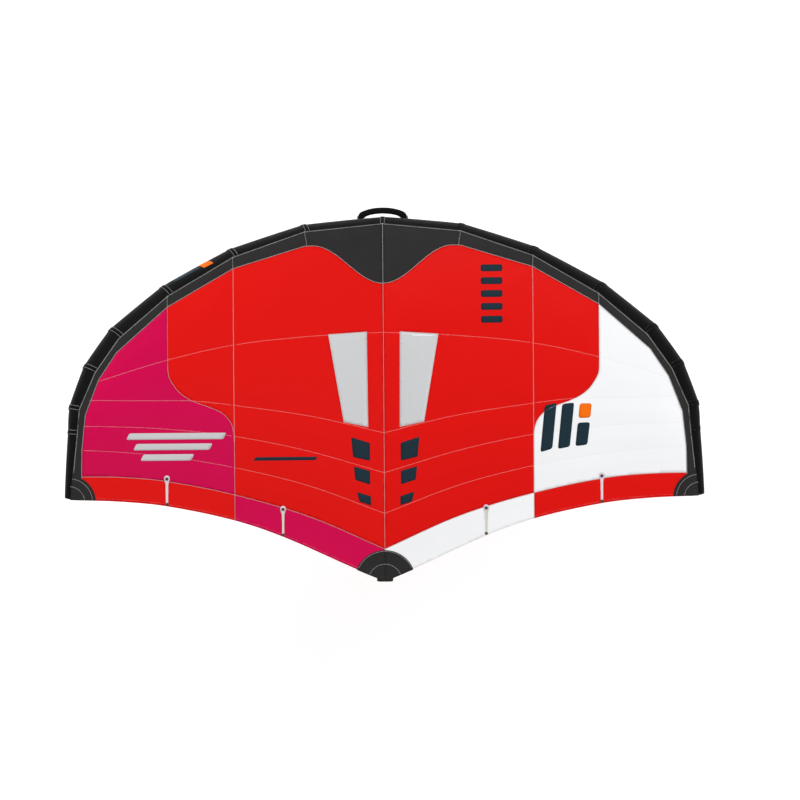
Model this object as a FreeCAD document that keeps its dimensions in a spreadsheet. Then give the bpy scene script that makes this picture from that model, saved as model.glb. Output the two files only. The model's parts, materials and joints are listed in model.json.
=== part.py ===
import FreeCAD
import math
import os
import Part
import Sketcher
from FreeCAD import Placement, Rotation, Vector

# Inflatable hand-held wing for foil boarding, about 3.6 square metres.
# Millimetres, +Z up, +X to the wing's own left, -Y forwards: the inflated leading edge faces -Y.
# The plan is drawn from the nose, the foremost point of the leading edge at the centre, and heights
# from the tube's axis there. The row's origin is the middle of the front handle's grip.

DIMENSIONS = {
    # rise of the wing outwards: a slope at the centre that steepens with the square of the span
    "dihedral_slope": 0.15,
    "dihedral_curve": 0.0000864,
    # leading-edge tube: its nine stitched joints from the centre to a tip
    "joint_0_span": 0, "joint_0_back": 95, "joint_0_radius": 95, "joint_0_seam": 67,
    "joint_1_span": 328, "joint_1_back": 126, "joint_1_radius": 95, "joint_1_seam": 65,
    "joint_2_span": 634, "joint_2_back": 222, "joint_2_radius": 91, "joint_2_seam": 54,
    "joint_3_span": 918, "joint_3_back": 371, "joint_3_radius": 85, "joint_3_seam": 37,
    "joint_4_span": 1135, "joint_4_back": 538, "joint_4_radius": 77, "joint_4_seam": 22,
    "joint_5_span": 1243, "joint_5_back": 678, "joint_5_radius": 69, "joint_5_seam": 14,
    "joint_6_span": 1310, "joint_6_back": 836, "joint_6_radius": 60, "joint_6_seam": 16,
    "joint_7_span": 1320, "joint_7_back": 935, "joint_7_radius": 54, "joint_7_seam": 14,
    "joint_8_span": 1348, "joint_8_back": 1218, "joint_8_radius": 42, "joint_8_seam": 16,
    "sleeve_wall": 1.2,
    "bladder_gap": 2.5,
    "bladder_wall": 1.5,
    "bladder_end_gap": 5,
    "tape_gap": 0.2,
    "tape_wall": 0.8,
    "tape_width": 22,
    # canopy
    "canopy_wall": 1.2,
    "canopy_gap": 3,
    "camber": 0.06,
    "edge_height": 20,
    "edge_height_tip": 42,
    "patch_gap": 0.3,
    "patch_wall": 1,
    "edge_patch_radius": 134,
    "tip_patch_radius": 114,
    # battens in pockets on the trailing-edge band
    "batten_inner_span": 443,
    "batten_outer_span": 947,
    "pocket_width": 17,
    "pocket_height": 4.4,
    "batten_width": 9,
    "batten_height": 2.2,
    "batten_end_gap": 5,
    "batten_bed": 0.8,
    "batten_play": 0.1,
    # centre strut
    "strut_end": 1593,
    "strut_end_radius": 34.5,
    "strut_cap_length": 42,
    "strut_cap_radius": 36.4,
    "strut_cap_play": 0.9,
    "strut_bladder_wall": 1.2,
    "strut_tube_gap": 1.4,
    "strut_gap": 1.8,
    "strut_droop": 7,
    "strut_droop_start": 1300,
    "strut_level": 1541,
    # handles under the strut
    "front_handle_back": 530,
    "rear_handle_back": 1010,
    "handle_half": 105,
    "handle_drop": 75,
    "handle_bend": 30,
    "handle_rod_radius": 7,
    "grip_radius": 15,
    "grip_length": 142,
    "hinge_stand_off": 15,
    "pin_radius": 4,
    "pin_length": 7,
    "pin_root": 2,
    "pin_play": 1,
    "eye_radius": 4.1,
    "lug_wall": 3,
    "lug_width": 24,
    "saddle_length": 46,
    "saddle_width": 40,
    "saddle_wall": 5,
    "saddle_gap": 0.3,
    # handle on the nose
    "nose_handle_half": 96,
    "nose_handle_reach": 33,
    "nose_handle_back": 6,
    "nose_handle_height": -30,
    "nose_handle_thick": 24,
    "nose_handle_deep": 15,
    # valves and their ports
    "port_gap": 0.5,
    "valve_span": 200,
    "valve_flange_radius": 29,
    "valve_neck_radius": 17,
    "valve_bore_radius": 11.5,
    "valve_guide_radius": 2.6,
    "valve_cage_radius": 13,
    "valve_floor": 2,
    "valve_seat_radius": 5,
    "valve_seat_low": 11.5,
    "valve_seat_high": 14,
    "valve_depth": 16,
    "valve_top": 30,
    "valve_stem_radius": 2.4,
    "valve_stem_length": 15.7,
    "valve_disc_radius": 9,
    "valve_disc_low": 10.7,
    "valve_disc_wall": 2.5,
    "valve_spring_radius": 5,
    "valve_spring_wire": 0.4,
    "valve_spring_length": 5.6,
    # deflation valve on the strut
    "dump_back": 1380,
    "dump_flange_radius": 22,
    "dump_neck_radius": 12,
    "dump_bore_radius": 8,
    "dump_top": 22,
    # hose from the leading edge to the strut
    "hose_radius": 9,
    "hose_bore_radius": 6.6,
    "hose_span": 160,
    "hose_back": 345,
    "hose_height": 45,
    "hose_bend": 60,
    "nipple_radius": 6.4,
    "nipple_bore_radius": 4.5,
    "nipple_length": 18,
    "nipple_flange_radius": 14,
    "nipple_flange_wall": 5,
    "clip_back": 256,
    "clip_length": 22,
    "clip_width": 30,
    "clip_wall": 3,
    # zip under the strut
    "zip_back": 1235,
    "zip_length": 130,
    "zip_width": 22,
    "zip_wall": 1.6,
    "slider_length": 12,
    "slider_width": 9,
    "slider_height": 4,
    "slider_gap": 1.9,
    # webbing loops and the leash ring
    "ring_radius": 14,
    "ring_wire": 2.5,
    "leash_tilt": 62,
    "harness_front_back": 705,
    "harness_rear_back": 835,
}

doc = FreeCAD.newDocument("wing")
sheet = doc.addObject("Spreadsheet::Sheet", "dims")
for row, (alias, value) in enumerate(DIMENSIONS.items(), start=1):
    sheet.set(f"A{row}", alias)
    sheet.set(f"B{row}", str(value))
    sheet.setAlias(f"B{row}", alias)
doc.recompute()


def dim(alias):
    """The number in the sheet's cell of that name."""
    return float(sheet.get(alias))


# ---------------------------------------------------------------------------------------------
# The wing's surfaces, from the nose: span (x), distance back (y), height (z)
# ---------------------------------------------------------------------------------------------

JOINTS = range(9)
SIDES = {"left": 1, "right": -1}
EDGE = ((0, 1591), (122, 1540), (445, 1394), (659, 1320), (947, 1257), (1148, 1235), (1364, 1226))
BAND = ((0, 1452), (325, 1309), (652, 1210), (964, 1146), (1166, 1128), (1364, 1125))
STRUT = ((100, 56), (450, 65), (900, 62), (1300, 48), (1530, 34.5), (1593, 34.5))


def curve(points, x):
    """The height at x of a smooth curve through points, whose slopes follow their neighbours."""
    last = len(points) - 1
    i = max(k for k in range(last) if k == 0 or points[k][0] <= x)
    (x0, y0), (x1, y1) = points[i], points[i + 1]

    def slope(k):
        before, after = points[max(k - 1, 0)], points[min(k + 1, last)]
        return (after[1] - before[1]) / (after[0] - before[0])

    width = x1 - x0
    f = (x - x0) / width
    return (
        (2 * f**3 - 3 * f**2 + 1) * y0
        + (f**3 - 2 * f**2 + f) * width * slope(i)
        + (3 * f**2 - 2 * f**3) * y1
        + (f**3 - f**2) * width * slope(i + 1)
    )


def rise(x):
    return dim("dihedral_slope") * abs(x) + dim("dihedral_curve") * x * x


def tube_back(x):
    """Distance back of the tube's axis, as one smooth line, for the canopy's chord."""
    outward = min(abs(x), 1350) / 1360
    return dim("joint_0_back") + 1100 * (1 - math.sqrt(1 - outward**2.15))


AXIS = [
    Vector(dim(f"joint_{k}_span"), dim(f"joint_{k}_back"), rise(dim(f"joint_{k}_span")))
    for k in JOINTS
]
RADII = [dim(f"joint_{k}_radius") for k in JOINTS]
TIP_SPAN = EDGE[-1][0]

# the canopy's underside passes this far over the tube's axis, as a share of the tube's radius
CROWN_SHARE = 1.05
CROWN = [(AXIS[k].x, CROWN_SHARE * RADII[k]) for k in JOINTS]
# share * (1 - share) ** 1.3 peaks at one over this number
CAMBER_PEAK = 4.83
# the canopy leaves the tube in a fillet of this height
FILLET = 12


def tube_top(x, y):
    """Height of the leading-edge tube's upper surface, or None beside the tube."""
    best = None
    for k in JOINTS[:-1]:
        a, b = AXIS[k], AXIS[k + 1]
        run = Vector(b.x - a.x, b.y - a.y, 0)
        f = ((x - a.x) * run.x + (y - a.y) * run.y) / run.Length**2
        f = min(max(f, 0), 1)
        foot = a + (b - a) * f
        aside = math.hypot(x - foot.x, y - foot.y)
        radius = RADII[k] + (RADII[k + 1] - RADII[k]) * f
        if aside < radius:
            steep = (b - a).Length / run.Length
            z = foot.z + math.sqrt(radius**2 - aside**2) * steep
            best = z if best is None else max(best, z)
    return best


def canopy_height(x, y):
    """Height of the canopy's underside: a cambered sheet that lies over the tube's crown."""
    x = abs(x)
    start, end = tube_back(x), curve(EDGE, x)
    chord = end - start
    back = min(max((y - start) / chord, -0.2), 1)
    ahead = max(1 - back, 0)
    tip = (x / TIP_SPAN) ** 3
    lift = dim("edge_height") + (dim("edge_height_tip") - dim("edge_height")) * tip
    z = rise(x) + lift * back + curve(CROWN, min(x, AXIS[8].x)) * ahead**1.5
    z += CAMBER_PEAK * dim("camber") * chord * back * ahead**1.3
    top = tube_top(x, y)
    if top is not None:
        near = max(FILLET - abs(z - top), 0) / FILLET
        z = max(z, top) + near * near * FILLET / 4
    return z + dim("canopy_gap")


def strut_radius(y):
    return curve(STRUT, y)


def strut_axis(y):
    """Height of the strut's axis: its top follows the canopy, then droops to a level last stretch."""
    y = min(y, dim("strut_level"))
    past = max(y - dim("strut_droop_start"), 0) / (dim("strut_level") - dim("strut_droop_start"))
    return canopy_height(0, y) - dim("strut_gap") - dim("strut_droop") * past**2 - strut_radius(y)


# ---------------------------------------------------------------------------------------------
# Handle frames, and the row's origin at the middle of the front grip
# ---------------------------------------------------------------------------------------------


def handle_frame(back):
    """The middle of a strut handle's hinge line, and its directions aft and up."""
    reach = dim("handle_half") + dim("handle_rod_radius") + dim("lug_wall")
    ends = []
    for y in (back - reach, back + reach):
        ends.append(Vector(0, y, strut_axis(y) - strut_radius(y) - dim("hinge_stand_off")))
    aft = (ends[1] - ends[0]).normalize()
    up = Vector(1, 0, 0).cross(aft).normalize()
    return (ends[0] + ends[1]) / 2, aft, up


front_middle, front_aft, front_up = handle_frame(dim("front_handle_back"))
ORIGIN = front_middle - front_up * dim("handle_drop")


def at(x, y, z):
    """A place given from the nose, in the row's own frame."""
    return Vector(x, y, z) - ORIGIN


def facing(point, forward, side):
    """A placement at point with its own Z along forward and its own X near side."""
    z = Vector(forward).normalize()
    if z.cross(side).Length < 1e-6:
        side = Vector(0, 1, 0)
    x = (side - z * side.dot(z)).normalize()
    return Placement(point, Rotation(x, z.cross(x), z, "ZXY"))


def moved(frame, x, y, z):
    """A frame shifted along its own axes."""
    return frame * Placement(Vector(x, y, z), Rotation())


# ---------------------------------------------------------------------------------------------
# Small builders
# ---------------------------------------------------------------------------------------------

parts = []


def keep(obj, node):
    """Mark a document object as one of the sub-parts that are written out."""
    obj.Label = node
    parts.append(obj)
    return obj


def made(kind, name, **sizes):
    """A Part object whose sizes are bound to expressions on the sheet."""
    obj = doc.addObject(f"Part::{kind}", name)
    for prop, expression in sizes.items():
        obj.setExpression(prop, expression)
    return obj


def less(name, base, *tools):
    """base with each tool cut away."""
    for n, tool in enumerate(tools):
        cut = doc.addObject("Part::Cut", f"{name}_cut_{n}")
        cut.Base = base
        cut.Tool = tool
        base = cut
    return base


def joined(name, *shapes):
    fuse = doc.addObject("Part::MultiFuse", f"{name}_joined")
    fuse.Shapes = list(shapes)
    return fuse


def group(node, shapes):
    """Several separate solids kept as one sub-part."""
    obj = doc.addObject("Part::Compound", node)
    obj.Links = shapes
    return keep(obj, node)


def solid(name, shape):
    """A Part::Feature that holds a shape made with Part's own functions."""
    obj = doc.addObject("Part::Feature", name)
    obj.Shape = shape
    return obj


def total(names):
    """The sum of several cells; a name that starts with a minus is taken away."""
    return sum(-dim(name[1:]) if name[0] == "-" else dim(name) for name in names)


def expression(names):
    """The same sum, as an expression on the sheet."""
    terms = [f"- dims.{name[1:]}" if name[0] == "-" else f"+ dims.{name}" for name in names]
    return " ".join(terms).lstrip("+ ")


def revolved(name, outline):
    """A PartDesign body turned about its Z axis: each corner is (radius, height), in lists of cells."""
    body = doc.addObject("PartDesign::Body", name)
    plane = next(f for f in body.Origin.OriginFeatures if f.Role == "XZ_Plane")
    sketch = body.newObject("Sketcher::SketchObject", f"{name}_outline")
    sketch.AttachmentSupport = [(plane, "")]
    sketch.MapMode = "FlatFace"
    count = len(outline)
    corners = [Vector(total(radius), total(height), 0) for radius, height in outline]
    for n in range(count):
        sketch.addGeometry(Part.LineSegment(corners[n], corners[(n + 1) % count]), False)
    for n in range(count):
        sketch.addConstraint(Sketcher.Constraint("Coincident", n, 2, (n + 1) % count, 1))
    for n, (radius, height) in enumerate(outline):
        for names, kind, axis in ((radius, "DistanceX", -2), (height, "DistanceY", -1)):
            value = total(names)
            if abs(value) < 1e-6:
                sketch.addConstraint(Sketcher.Constraint("PointOnObject", n, 1, axis))
            else:
                index = sketch.addConstraint(Sketcher.Constraint(kind, -1, 1, n, 1, value))
                sketch.setExpression(f"Constraints[{index}]", expression(names))
    turn = body.newObject("PartDesign::Revolution", f"{name}_turned")
    turn.Profile = (sketch, [""])
    turn.ReferenceAxis = (sketch, ["V_Axis"])
    turn.Angle = 360
    return body


# ---------------------------------------------------------------------------------------------
# Leading edge: eight straight tube segments a side between mitred joints, one bladder, joint tapes
# ---------------------------------------------------------------------------------------------


def ring_frame(k, side, shift=0):
    """Where joint k's section lies: in the plane that halves the bend, with its start at the top."""
    before = AXIS[k] - AXIS[k - 1] if k else Vector(AXIS[1].x, AXIS[0].y - AXIS[1].y, -AXIS[1].z)
    after = AXIS[k + 1] - AXIS[k] if k < 8 else before
    along = (Vector(before).normalize() + Vector(after).normalize()).normalize()
    point = AXIS[k] + along * shift
    along = Vector(side * along.x, along.y, along.z)
    return facing(at(side * point.x, point.y, point.z), along, Vector(0, 0, 1))


def ring(name, k, side, radius, shift=0):
    circle = made("Circle", name, Radius=radius)
    circle.Placement = ring_frame(k, side, shift)
    return circle


def tube(name, rings):
    loft = doc.addObject("Part::Loft", name)
    loft.Sections = rings
    loft.Solid = True
    loft.Ruled = True
    return loft


def segment(name, k, side, inset, end_shift=0):
    """The cone from joint k to the next, smaller than the tube by inset, an expression."""
    near = ring(f"{name}_near", k, side, f"dims.joint_{k}_radius - ({inset})")
    far = ring(f"{name}_far", k + 1, side, f"dims.joint_{k + 1}_radius - ({inset})", end_shift)
    return tube(name, [near, far])


def on_tube(k, side, span, below):
    """A spot on segment k's surface, an angle below the level line behind the tube."""
    a, b = AXIS[k], AXIS[k + 1]
    f = (span - a.x) / (b.x - a.x)
    foot = a + (b - a) * f
    along = Vector(side * (b - a).x, (b - a).y, (b - a).z).normalize()
    normal = Vector(0, math.cos(math.radians(below)), -math.sin(math.radians(below)))
    normal = (normal - along * normal.dot(along)).normalize()
    radius = RADII[k] + (RADII[k + 1] - RADII[k]) * f
    return at(side * foot.x, foot.y, foot.z) + normal * radius


first_run = AXIS[1] - AXIS[0]
valve_foot = AXIS[0] + first_run * (dim("valve_span") / AXIS[1].x)
valve_drop = RADII[0] * first_run.Length / math.hypot(first_run.x, first_run.y)
valve_skin = at(-valve_foot.x, valve_foot.y, valve_foot.z - valve_drop)
hose_angle = math.asin((rise(dim("hose_span")) - dim("hose_height")) / dim("joint_0_radius"))
hose_start = on_tube(0, 1, dim("hose_span"), math.degrees(hose_angle))


def port(name, radius, point, normal, depth=60):
    """A round tool that opens a hole through a skin at point."""
    drill = made("Cylinder", name, Radius=radius)
    drill.Height = depth
    drill.Placement = facing(point - normal * depth / 2, normal, Vector(1, 0, 0))
    return drill


DOWN = Vector(0, 0, -1)
BACK = Vector(0, 1, 0)
LEFTWARD = Vector(1, 0, 0)
RIGHTWARD = Vector(-1, 0, 0)

valve_port = port("valve_port", "dims.valve_neck_radius + dims.port_gap", valve_skin, DOWN, 70)
hose_port = port("hose_port", "dims.nipple_radius + dims.port_gap", hose_start, BACK)

for side_name, side in SIDES.items():
    for k in JOINTS[:-1]:
        name = f"le_sleeve_{side_name}_{k + 1}"
        outer = segment(f"{name}_outer", k, side, "0")
        inner = segment(f"{name}_inner", k, side, "dims.sleeve_wall", -dim("sleeve_wall") if k == 7 else 0)
        tools = [inner]
        if k == 0:
            tools.append(hose_port if side > 0 else valve_port)
        keep(less(name, outer, *tools), name)


def whole_tube(name, inset, end_shift):
    """The leading edge from tip to tip as one closed tube, smaller by inset."""
    rings = [
        ring(f"{name}_right_{k}", k, -1, f"dims.joint_{k}_radius - ({inset})", end_shift if k == 8 else 0)
        for k in reversed(JOINTS[1:])
    ]
    # the right side's sections are turned round so that all of them face the same way along the tube
    for circle in rings:
        frame = circle.Placement
        forward = frame.Rotation.multVec(Vector(0, 0, -1))
        circle.Placement = facing(frame.Base, forward, Vector(0, 0, 1))
    rings += [
        ring(f"{name}_left_{k}", k, 1, f"dims.joint_{k}_radius - ({inset})", end_shift if k == 8 else 0)
        for k in JOINTS
    ]
    return tube(name, rings)


gap = "dims.sleeve_wall + dims.bladder_gap"
bladder_end = -dim("bladder_end_gap")
bladder_outer = whole_tube("bladder_outer", gap, bladder_end)
bladder_inner = whole_tube("bladder_inner", f"{gap} + dims.bladder_wall", bladder_end - dim("bladder_wall"))
keep(less("le_bladder", bladder_outer, bladder_inner, hose_port, valve_port), "le_bladder")


tape_shells = {}
for side_name, side in SIDES.items():
    for k in JOINTS[:-1]:
        for level, reach in (("over", "-(dims.tape_gap + dims.tape_wall)"), ("under", "-dims.tape_gap")):
            tape_shells[level, side, k] = segment(f"tape_{level}_{side_name}_{k + 1}", k, side, reach)


def tape(name, k, side):
    """A band round the tube at joint k, bent with the two segments that meet there."""
    pair = ((side, k - 1), (side, k)) if k else ((1, 0), (-1, 0))
    over = joined(f"{name}_over", *[tape_shells["over", *key] for key in pair])
    under = joined(f"{name}_under", *[tape_shells["under", *key] for key in pair])
    slab = made("Cylinder", f"{name}_slab", Radius=f"dims.joint_{k}_radius + 20", Height="dims.tape_width")
    frame = ring_frame(k, side)
    forward = frame.Rotation.multVec(Vector(0, 0, 1))
    slab.Placement = facing(frame.Base - forward * dim("tape_width") / 2, forward, Vector(0, 0, 1))
    band = doc.addObject("Part::MultiCommon", f"{name}_band")
    band.Shapes = [slab, over]
    return less(name, band, under)


# the leash loop is sewn to the tube where the centre tape leaves room for it
leash_tilt = math.radians(dim("leash_tilt"))
LEASH_AWAY = Vector(0, -math.cos(leash_tilt), -math.sin(leash_tilt))
leash_room = port("leash_room", "dims.tape_width + 6", at(*AXIS[0]) + LEASH_AWAY * RADII[0], LEASH_AWAY)
tapes = [less("tape_centre_open", tape("tape_centre", 0, 1), leash_room)]
for side_name, side in SIDES.items():
    for k in JOINTS[1:8]:
        tapes.append(tape(f"tape_{side_name}_{k}", k, side))
group("joint_tapes", tapes)

# ---------------------------------------------------------------------------------------------
# Canopy: thin cells between ribs, cut to the seams that part the colours
# ---------------------------------------------------------------------------------------------

RIB_BAND = (0, 330, 652, 905, 1075, 1165, 1225, 1265)
RIB_EDGE = (0, 330, 652, 900, 1065, 1155, 1215, 1258)
NOSE_PANEL_END = 293
MAIN_SPLIT = (652, 900)
OUTER_SPLIT_SHARE = 0.43


def seam_point(k, inboard=0):
    """Plan point on joint k's section: the canopy's seam, or a distance inboard of it."""
    frame = ring_frame(k, 1)
    across = frame.Rotation.multVec(Vector(0, 1, 0))
    across = Vector(across.x, across.y, 0).normalize()
    point = AXIS[k] + across * (dim(f"joint_{k}_seam") - inboard)
    return point.x, point.y


# the tips end a little behind the last joint
TIP_END = 4
LE_PANEL_WIDTH = (0, 65, 55, 52, 58, 38, 40, 38, 38)
FRONT = [seam_point(k) for k in JOINTS]
FRONT[8] = (FRONT[8][0], FRONT[8][1] + TIP_END)
DARK = [(0, NOSE_PANEL_END)] + [seam_point(k, LE_PANEL_WIDTH[k]) for k in JOINTS[1:]]
DARK[8] = (DARK[8][0], FRONT[8][1])
TIP_PATCH_CENTRE = (1368, 1233)


def between(a, b, f):
    return a[0] + (b[0] - a[0]) * f, a[1] + (b[1] - a[1]) * f


def outer_line(y):
    """The point on the leading-edge panel's rear edge, beyond the last joint, at that distance back."""
    return between(DARK[7], DARK[8], (y - DARK[7][1]) / (DARK[8][1] - DARK[7][1]))


def rib(front, rear, lift, side):
    """A curve across the canopy between two plan points, at a height above its underside."""
    points = []
    for n in range(7):
        x, y = between(front, rear, n / 6)
        points.append(at(side * x, y, canopy_height(x, y) + lift))
    spline = Part.BSplineCurve()
    spline.interpolate(points)
    return spline.toShape()


def cell(a, b, side, low, high):
    """A thin solid between two ribs, each given as its front and rear plan points."""
    edges = {}
    for key, ends in (("a", a), ("b", b)):
        for level, lift in (("low", low), ("high", high)):
            edges[key, level] = rib(ends[0], ends[1], lift, side)
    faces = [
        Part.makeRuledSurface(edges["a", "high"], edges["b", "high"]),
        Part.makeRuledSurface(edges["a", "low"], edges["b", "low"]),
        Part.makeRuledSurface(edges["a", "low"], edges["a", "high"]),
        Part.makeRuledSurface(edges["b", "low"], edges["b", "high"]),
    ]
    for end in (0, -1):
        lines = [edges[key, level].Vertexes[end].Point for key, level in
                 (("a", "low"), ("b", "low"), ("b", "high"), ("a", "high"))]
        faces.append(Part.Face(Part.makePolygon(lines + lines[:1])))
    shell = Part.makeShell(faces)
    shell.sewShape()
    body = Part.makeSolid(shell)
    body.fix(0.01, 0.001, 0.1)
    if body.Volume < 0:
        body.reverse()
    return body


def panel_cells():
    """Each panel's cells, as pairs of ribs."""
    top = [(RIB_BAND[k], curve(BAND, RIB_BAND[k])) for k in range(8)]
    edge = [(RIB_EDGE[k], curve(EDGE, RIB_EDGE[k])) for k in range(8)]
    tip_band = outer_line(curve(BAND, 1310))
    tip_front = outer_line(DARK[7][1] + 70)
    cells = {
        "le_panel": [((FRONT[k], DARK[k]), (FRONT[k + 1], DARK[k + 1])) for k in JOINTS[:-1]],
        "centre_panel": [((DARK[k], top[k]), (DARK[k + 1], top[k + 1])) for k in (0, 1)],
        "tip_panel": [((DARK[k], top[k]), (DARK[k + 1], top[k + 1])) for k in range(3, 7)],
        "te_band_inner": [((top[k], edge[k]), (top[k + 1], edge[k + 1])) for k in (0, 1)],
        "te_band_outer": [((top[k], edge[k]), (top[k + 1], edge[k + 1])) for k in range(2, 7)],
    }
    outer_split = between(DARK[3], top[3], OUTER_SPLIT_SHARE)
    cells["centre_panel"].append(((DARK[2], MAIN_SPLIT), (DARK[3], outer_split)))
    cells["tip_panel"].insert(0, ((MAIN_SPLIT, top[2]), (outer_split, top[3])))
    cells["tip_panel"].append(((DARK[7], top[7]), (tip_front, tip_band)))
    cells["te_band_outer"].append(((top[7], edge[7]), (tip_band, DARK[8])))
    return cells


CELLS = panel_cells()
WALL = dim("canopy_wall")


# upright cutting blocks reach from well below the canopy to well above it
BLOCK_LOW = -300
BLOCK_TALL = 1500


def prism(corners, side):
    """An upright block over a plan outline."""
    points = [at(side * x, y, BLOCK_LOW) for x, y in corners]
    face = Part.Face(Part.makePolygon(points + points[:1]))
    return face.extrude(Vector(0, 0, BLOCK_TALL))


def bar(x, width, front, rear, side):
    """An upright block over a strip of the plan that runs fore and aft."""
    left, right = x - width / 2, x + width / 2
    return prism([(left, front), (right, front), (right, rear), (left, rear)], side)


def disc(x, y, radius, side):
    return Part.makeCylinder(radius, BLOCK_TALL, at(side * x, y, BLOCK_LOW))


WINDOW = ((240, 514), (72, 503), (69, 918), (175, 896))

for side_name, side in SIDES.items():
    window = prism(WINDOW, side)
    for panel, cells in CELLS.items():
        shapes = [cell(a, b, side, 0, WALL) for a, b in cells]
        if panel == "centre_panel":
            glass = shapes[0].common(window)
            shapes[0] = shapes[0].cut(window)
            keep(solid(f"window_{side_name}_film", glass), f"window_{side_name}")
        name = panel.replace("te_band", f"te_band_{side_name}") if "band" in panel else f"{panel}_{side_name}"
        keep(solid(f"{name}_cloth", Part.makeCompound(shapes)), name)


def laid(block, cells, side, low, high):
    """What of a block lies in a layer over the canopy, between two heights above its top."""
    pieces = []
    for a, b in cells:
        piece = cell(a, b, side, WALL + low, WALL + high).common(block)
        pieces += piece.Solids
    return pieces


PATCH_LOW = dim("patch_gap")
PATCH_HIGH = PATCH_LOW + dim("patch_wall")
POCKET_INSET = 6

edge_patch = []
pockets = []
battens = []
for side_name, side in SIDES.items():
    block = disc(0, EDGE[0][1], dim("edge_patch_radius"), side)
    edge_patch += laid(block, CELLS["te_band_inner"][:1], side, PATCH_LOW, PATCH_HIGH)
    block = disc(*TIP_PATCH_CENTRE, dim("tip_patch_radius"), side)
    corner = laid(block, CELLS["te_band_outer"][-3:] + CELLS["le_panel"][-1:], side, PATCH_LOW, PATCH_HIGH)
    keep(solid(f"tip_patch_{side_name}_cloth", Part.makeCompound(corner)), f"tip_patch_{side_name}")
    for place, row, cells in (("inner", "te_band_inner", CELLS["te_band_inner"][1:]),
                              ("outer", "te_band_outer", CELLS["te_band_outer"][:2])):
        span = dim(f"batten_{place}_span")
        front, rear = curve(BAND, span) + POCKET_INSET, curve(EDGE, span) - POCKET_INSET
        cover = laid(bar(span, dim("pocket_width"), front, rear, side), cells, side,
                     PATCH_LOW, PATCH_LOW + dim("pocket_height"))
        end_gap, play = dim("batten_end_gap"), dim("batten_play")
        rod = bar(span, dim("batten_width"), front + end_gap, rear - end_gap, side)
        bed = PATCH_LOW + dim("batten_bed") + play
        inner = laid(rod, cells, side, bed - play, bed + dim("batten_height") + play)
        stick = laid(rod, cells, side, bed, bed + dim("batten_height"))
        for piece in cover:
            for hole in inner:
                piece = piece.cut(hole)
            pockets += piece.Solids
        battens += stick

keep(solid("te_centre_patch_cloth", Part.makeCompound(edge_patch)), "te_centre_patch")
keep(solid("batten_pockets_cloth", Part.makeCompound(pockets)), "batten_pockets")
keep(solid("battens_rods", Part.makeCompound(battens)), "battens")


# ---------------------------------------------------------------------------------------------
# Centre strut: a tapered sleeve with its own bladder, butted against the back of the leading edge
# ---------------------------------------------------------------------------------------------

END = dim("strut_end")
STATIONS = (120, 300, 520, 760, 1010, 1240, 1340, 1440, END - 48, END)


def strut_solid(name, inset, near=0, far=0):
    """The strut's outer shape, smaller by inset, cut back a little at each end."""
    wires = []
    for y in STATIONS:
        place = y + near if y == STATIONS[0] else y - far if y == END else y
        circle = Part.Circle(at(0, place, strut_axis(y)), Vector(0, 1, 0), strut_radius(y) - inset)
        wires.append(Part.Wire(circle.toShape()))
    return solid(name, Part.makeLoft(wires, True, False))


def tube_envelope(name, gap):
    """The two middle tube segments, larger by a gap (an expression), as one cutting tool."""
    return joined(name, *[segment(f"{name}_{key}", 0, side, f"-{gap}") for key, side in SIDES.items()])


def under_strut(back):
    """The lowest spot of the strut's skin at that distance back."""
    return at(0, back, strut_axis(back) - strut_radius(back))


hose_below = strut_axis(dim("hose_back")) - dim("hose_height")
hose_aside = math.sqrt(strut_radius(dim("hose_back")) ** 2 - hose_below**2)
hose_end = at(hose_aside, dim("hose_back"), dim("hose_height"))
dump_spot = under_strut(dim("dump_back"))
strut_ports = (
    port("strut_port", "dims.nipple_radius + dims.port_gap", hose_end, LEFTWARD),
    port("dump_port", "dims.dump_neck_radius + dims.port_gap", dump_spot, DOWN, 30),
)

wall = dim("sleeve_wall")
sleeve = less("strut_sleeve", strut_solid("strut_outer", 0), strut_solid("strut_inner", wall, 0, wall),
              tube_envelope("sleeve_clear", "dims.strut_tube_gap"), *strut_ports)
keep(sleeve, "strut_sleeve")
bladder_inset = wall + dim("bladder_gap")
bladder_end = dim("bladder_end_gap")
film = dim("strut_bladder_wall")
bladder = less("strut_bladder", strut_solid("strut_bladder_outer", bladder_inset, 0, bladder_end),
               strut_solid("strut_bladder_inner", bladder_inset + film, 0, bladder_end + film),
               tube_envelope("bladder_clear", "(dims.strut_tube_gap + dims.bladder_gap)"), *strut_ports)
keep(bladder, "strut_bladder")

cap = revolved("strut_cap_turned", [
    ([], []), (["strut_cap_radius", "-sleeve_wall"], []), (["strut_cap_radius"], ["sleeve_wall"]),
    (["strut_cap_radius"], ["strut_cap_length"]),
    (["strut_end_radius", "strut_cap_play"], ["strut_cap_length"]),
    (["strut_end_radius", "strut_cap_play"], ["sleeve_wall"]), ([], ["sleeve_wall"]),
])
cap_end = END + dim("sleeve_wall") + dim("patch_gap")
cap.Placement = facing(at(0, cap_end, strut_axis(END)), Vector(0, -1, 0), LEFTWARD)
keep(cap, "strut_end_cap")

# ---------------------------------------------------------------------------------------------
# Saddles: pads that follow the tube or the strut, with an upright webbing lug that has an eye
# ---------------------------------------------------------------------------------------------

tube_clear = tube_envelope("tube_clear", "dims.saddle_gap")
strut_clear = strut_solid("strut_clear", -dim("saddle_gap"))
jacket = {
    "tube": tube_envelope("tube_jacket", "(dims.saddle_gap + dims.saddle_wall / 2)"),
    "strut": strut_solid("strut_jacket", -dim("saddle_gap") - dim("saddle_wall") / 2),
}


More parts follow.
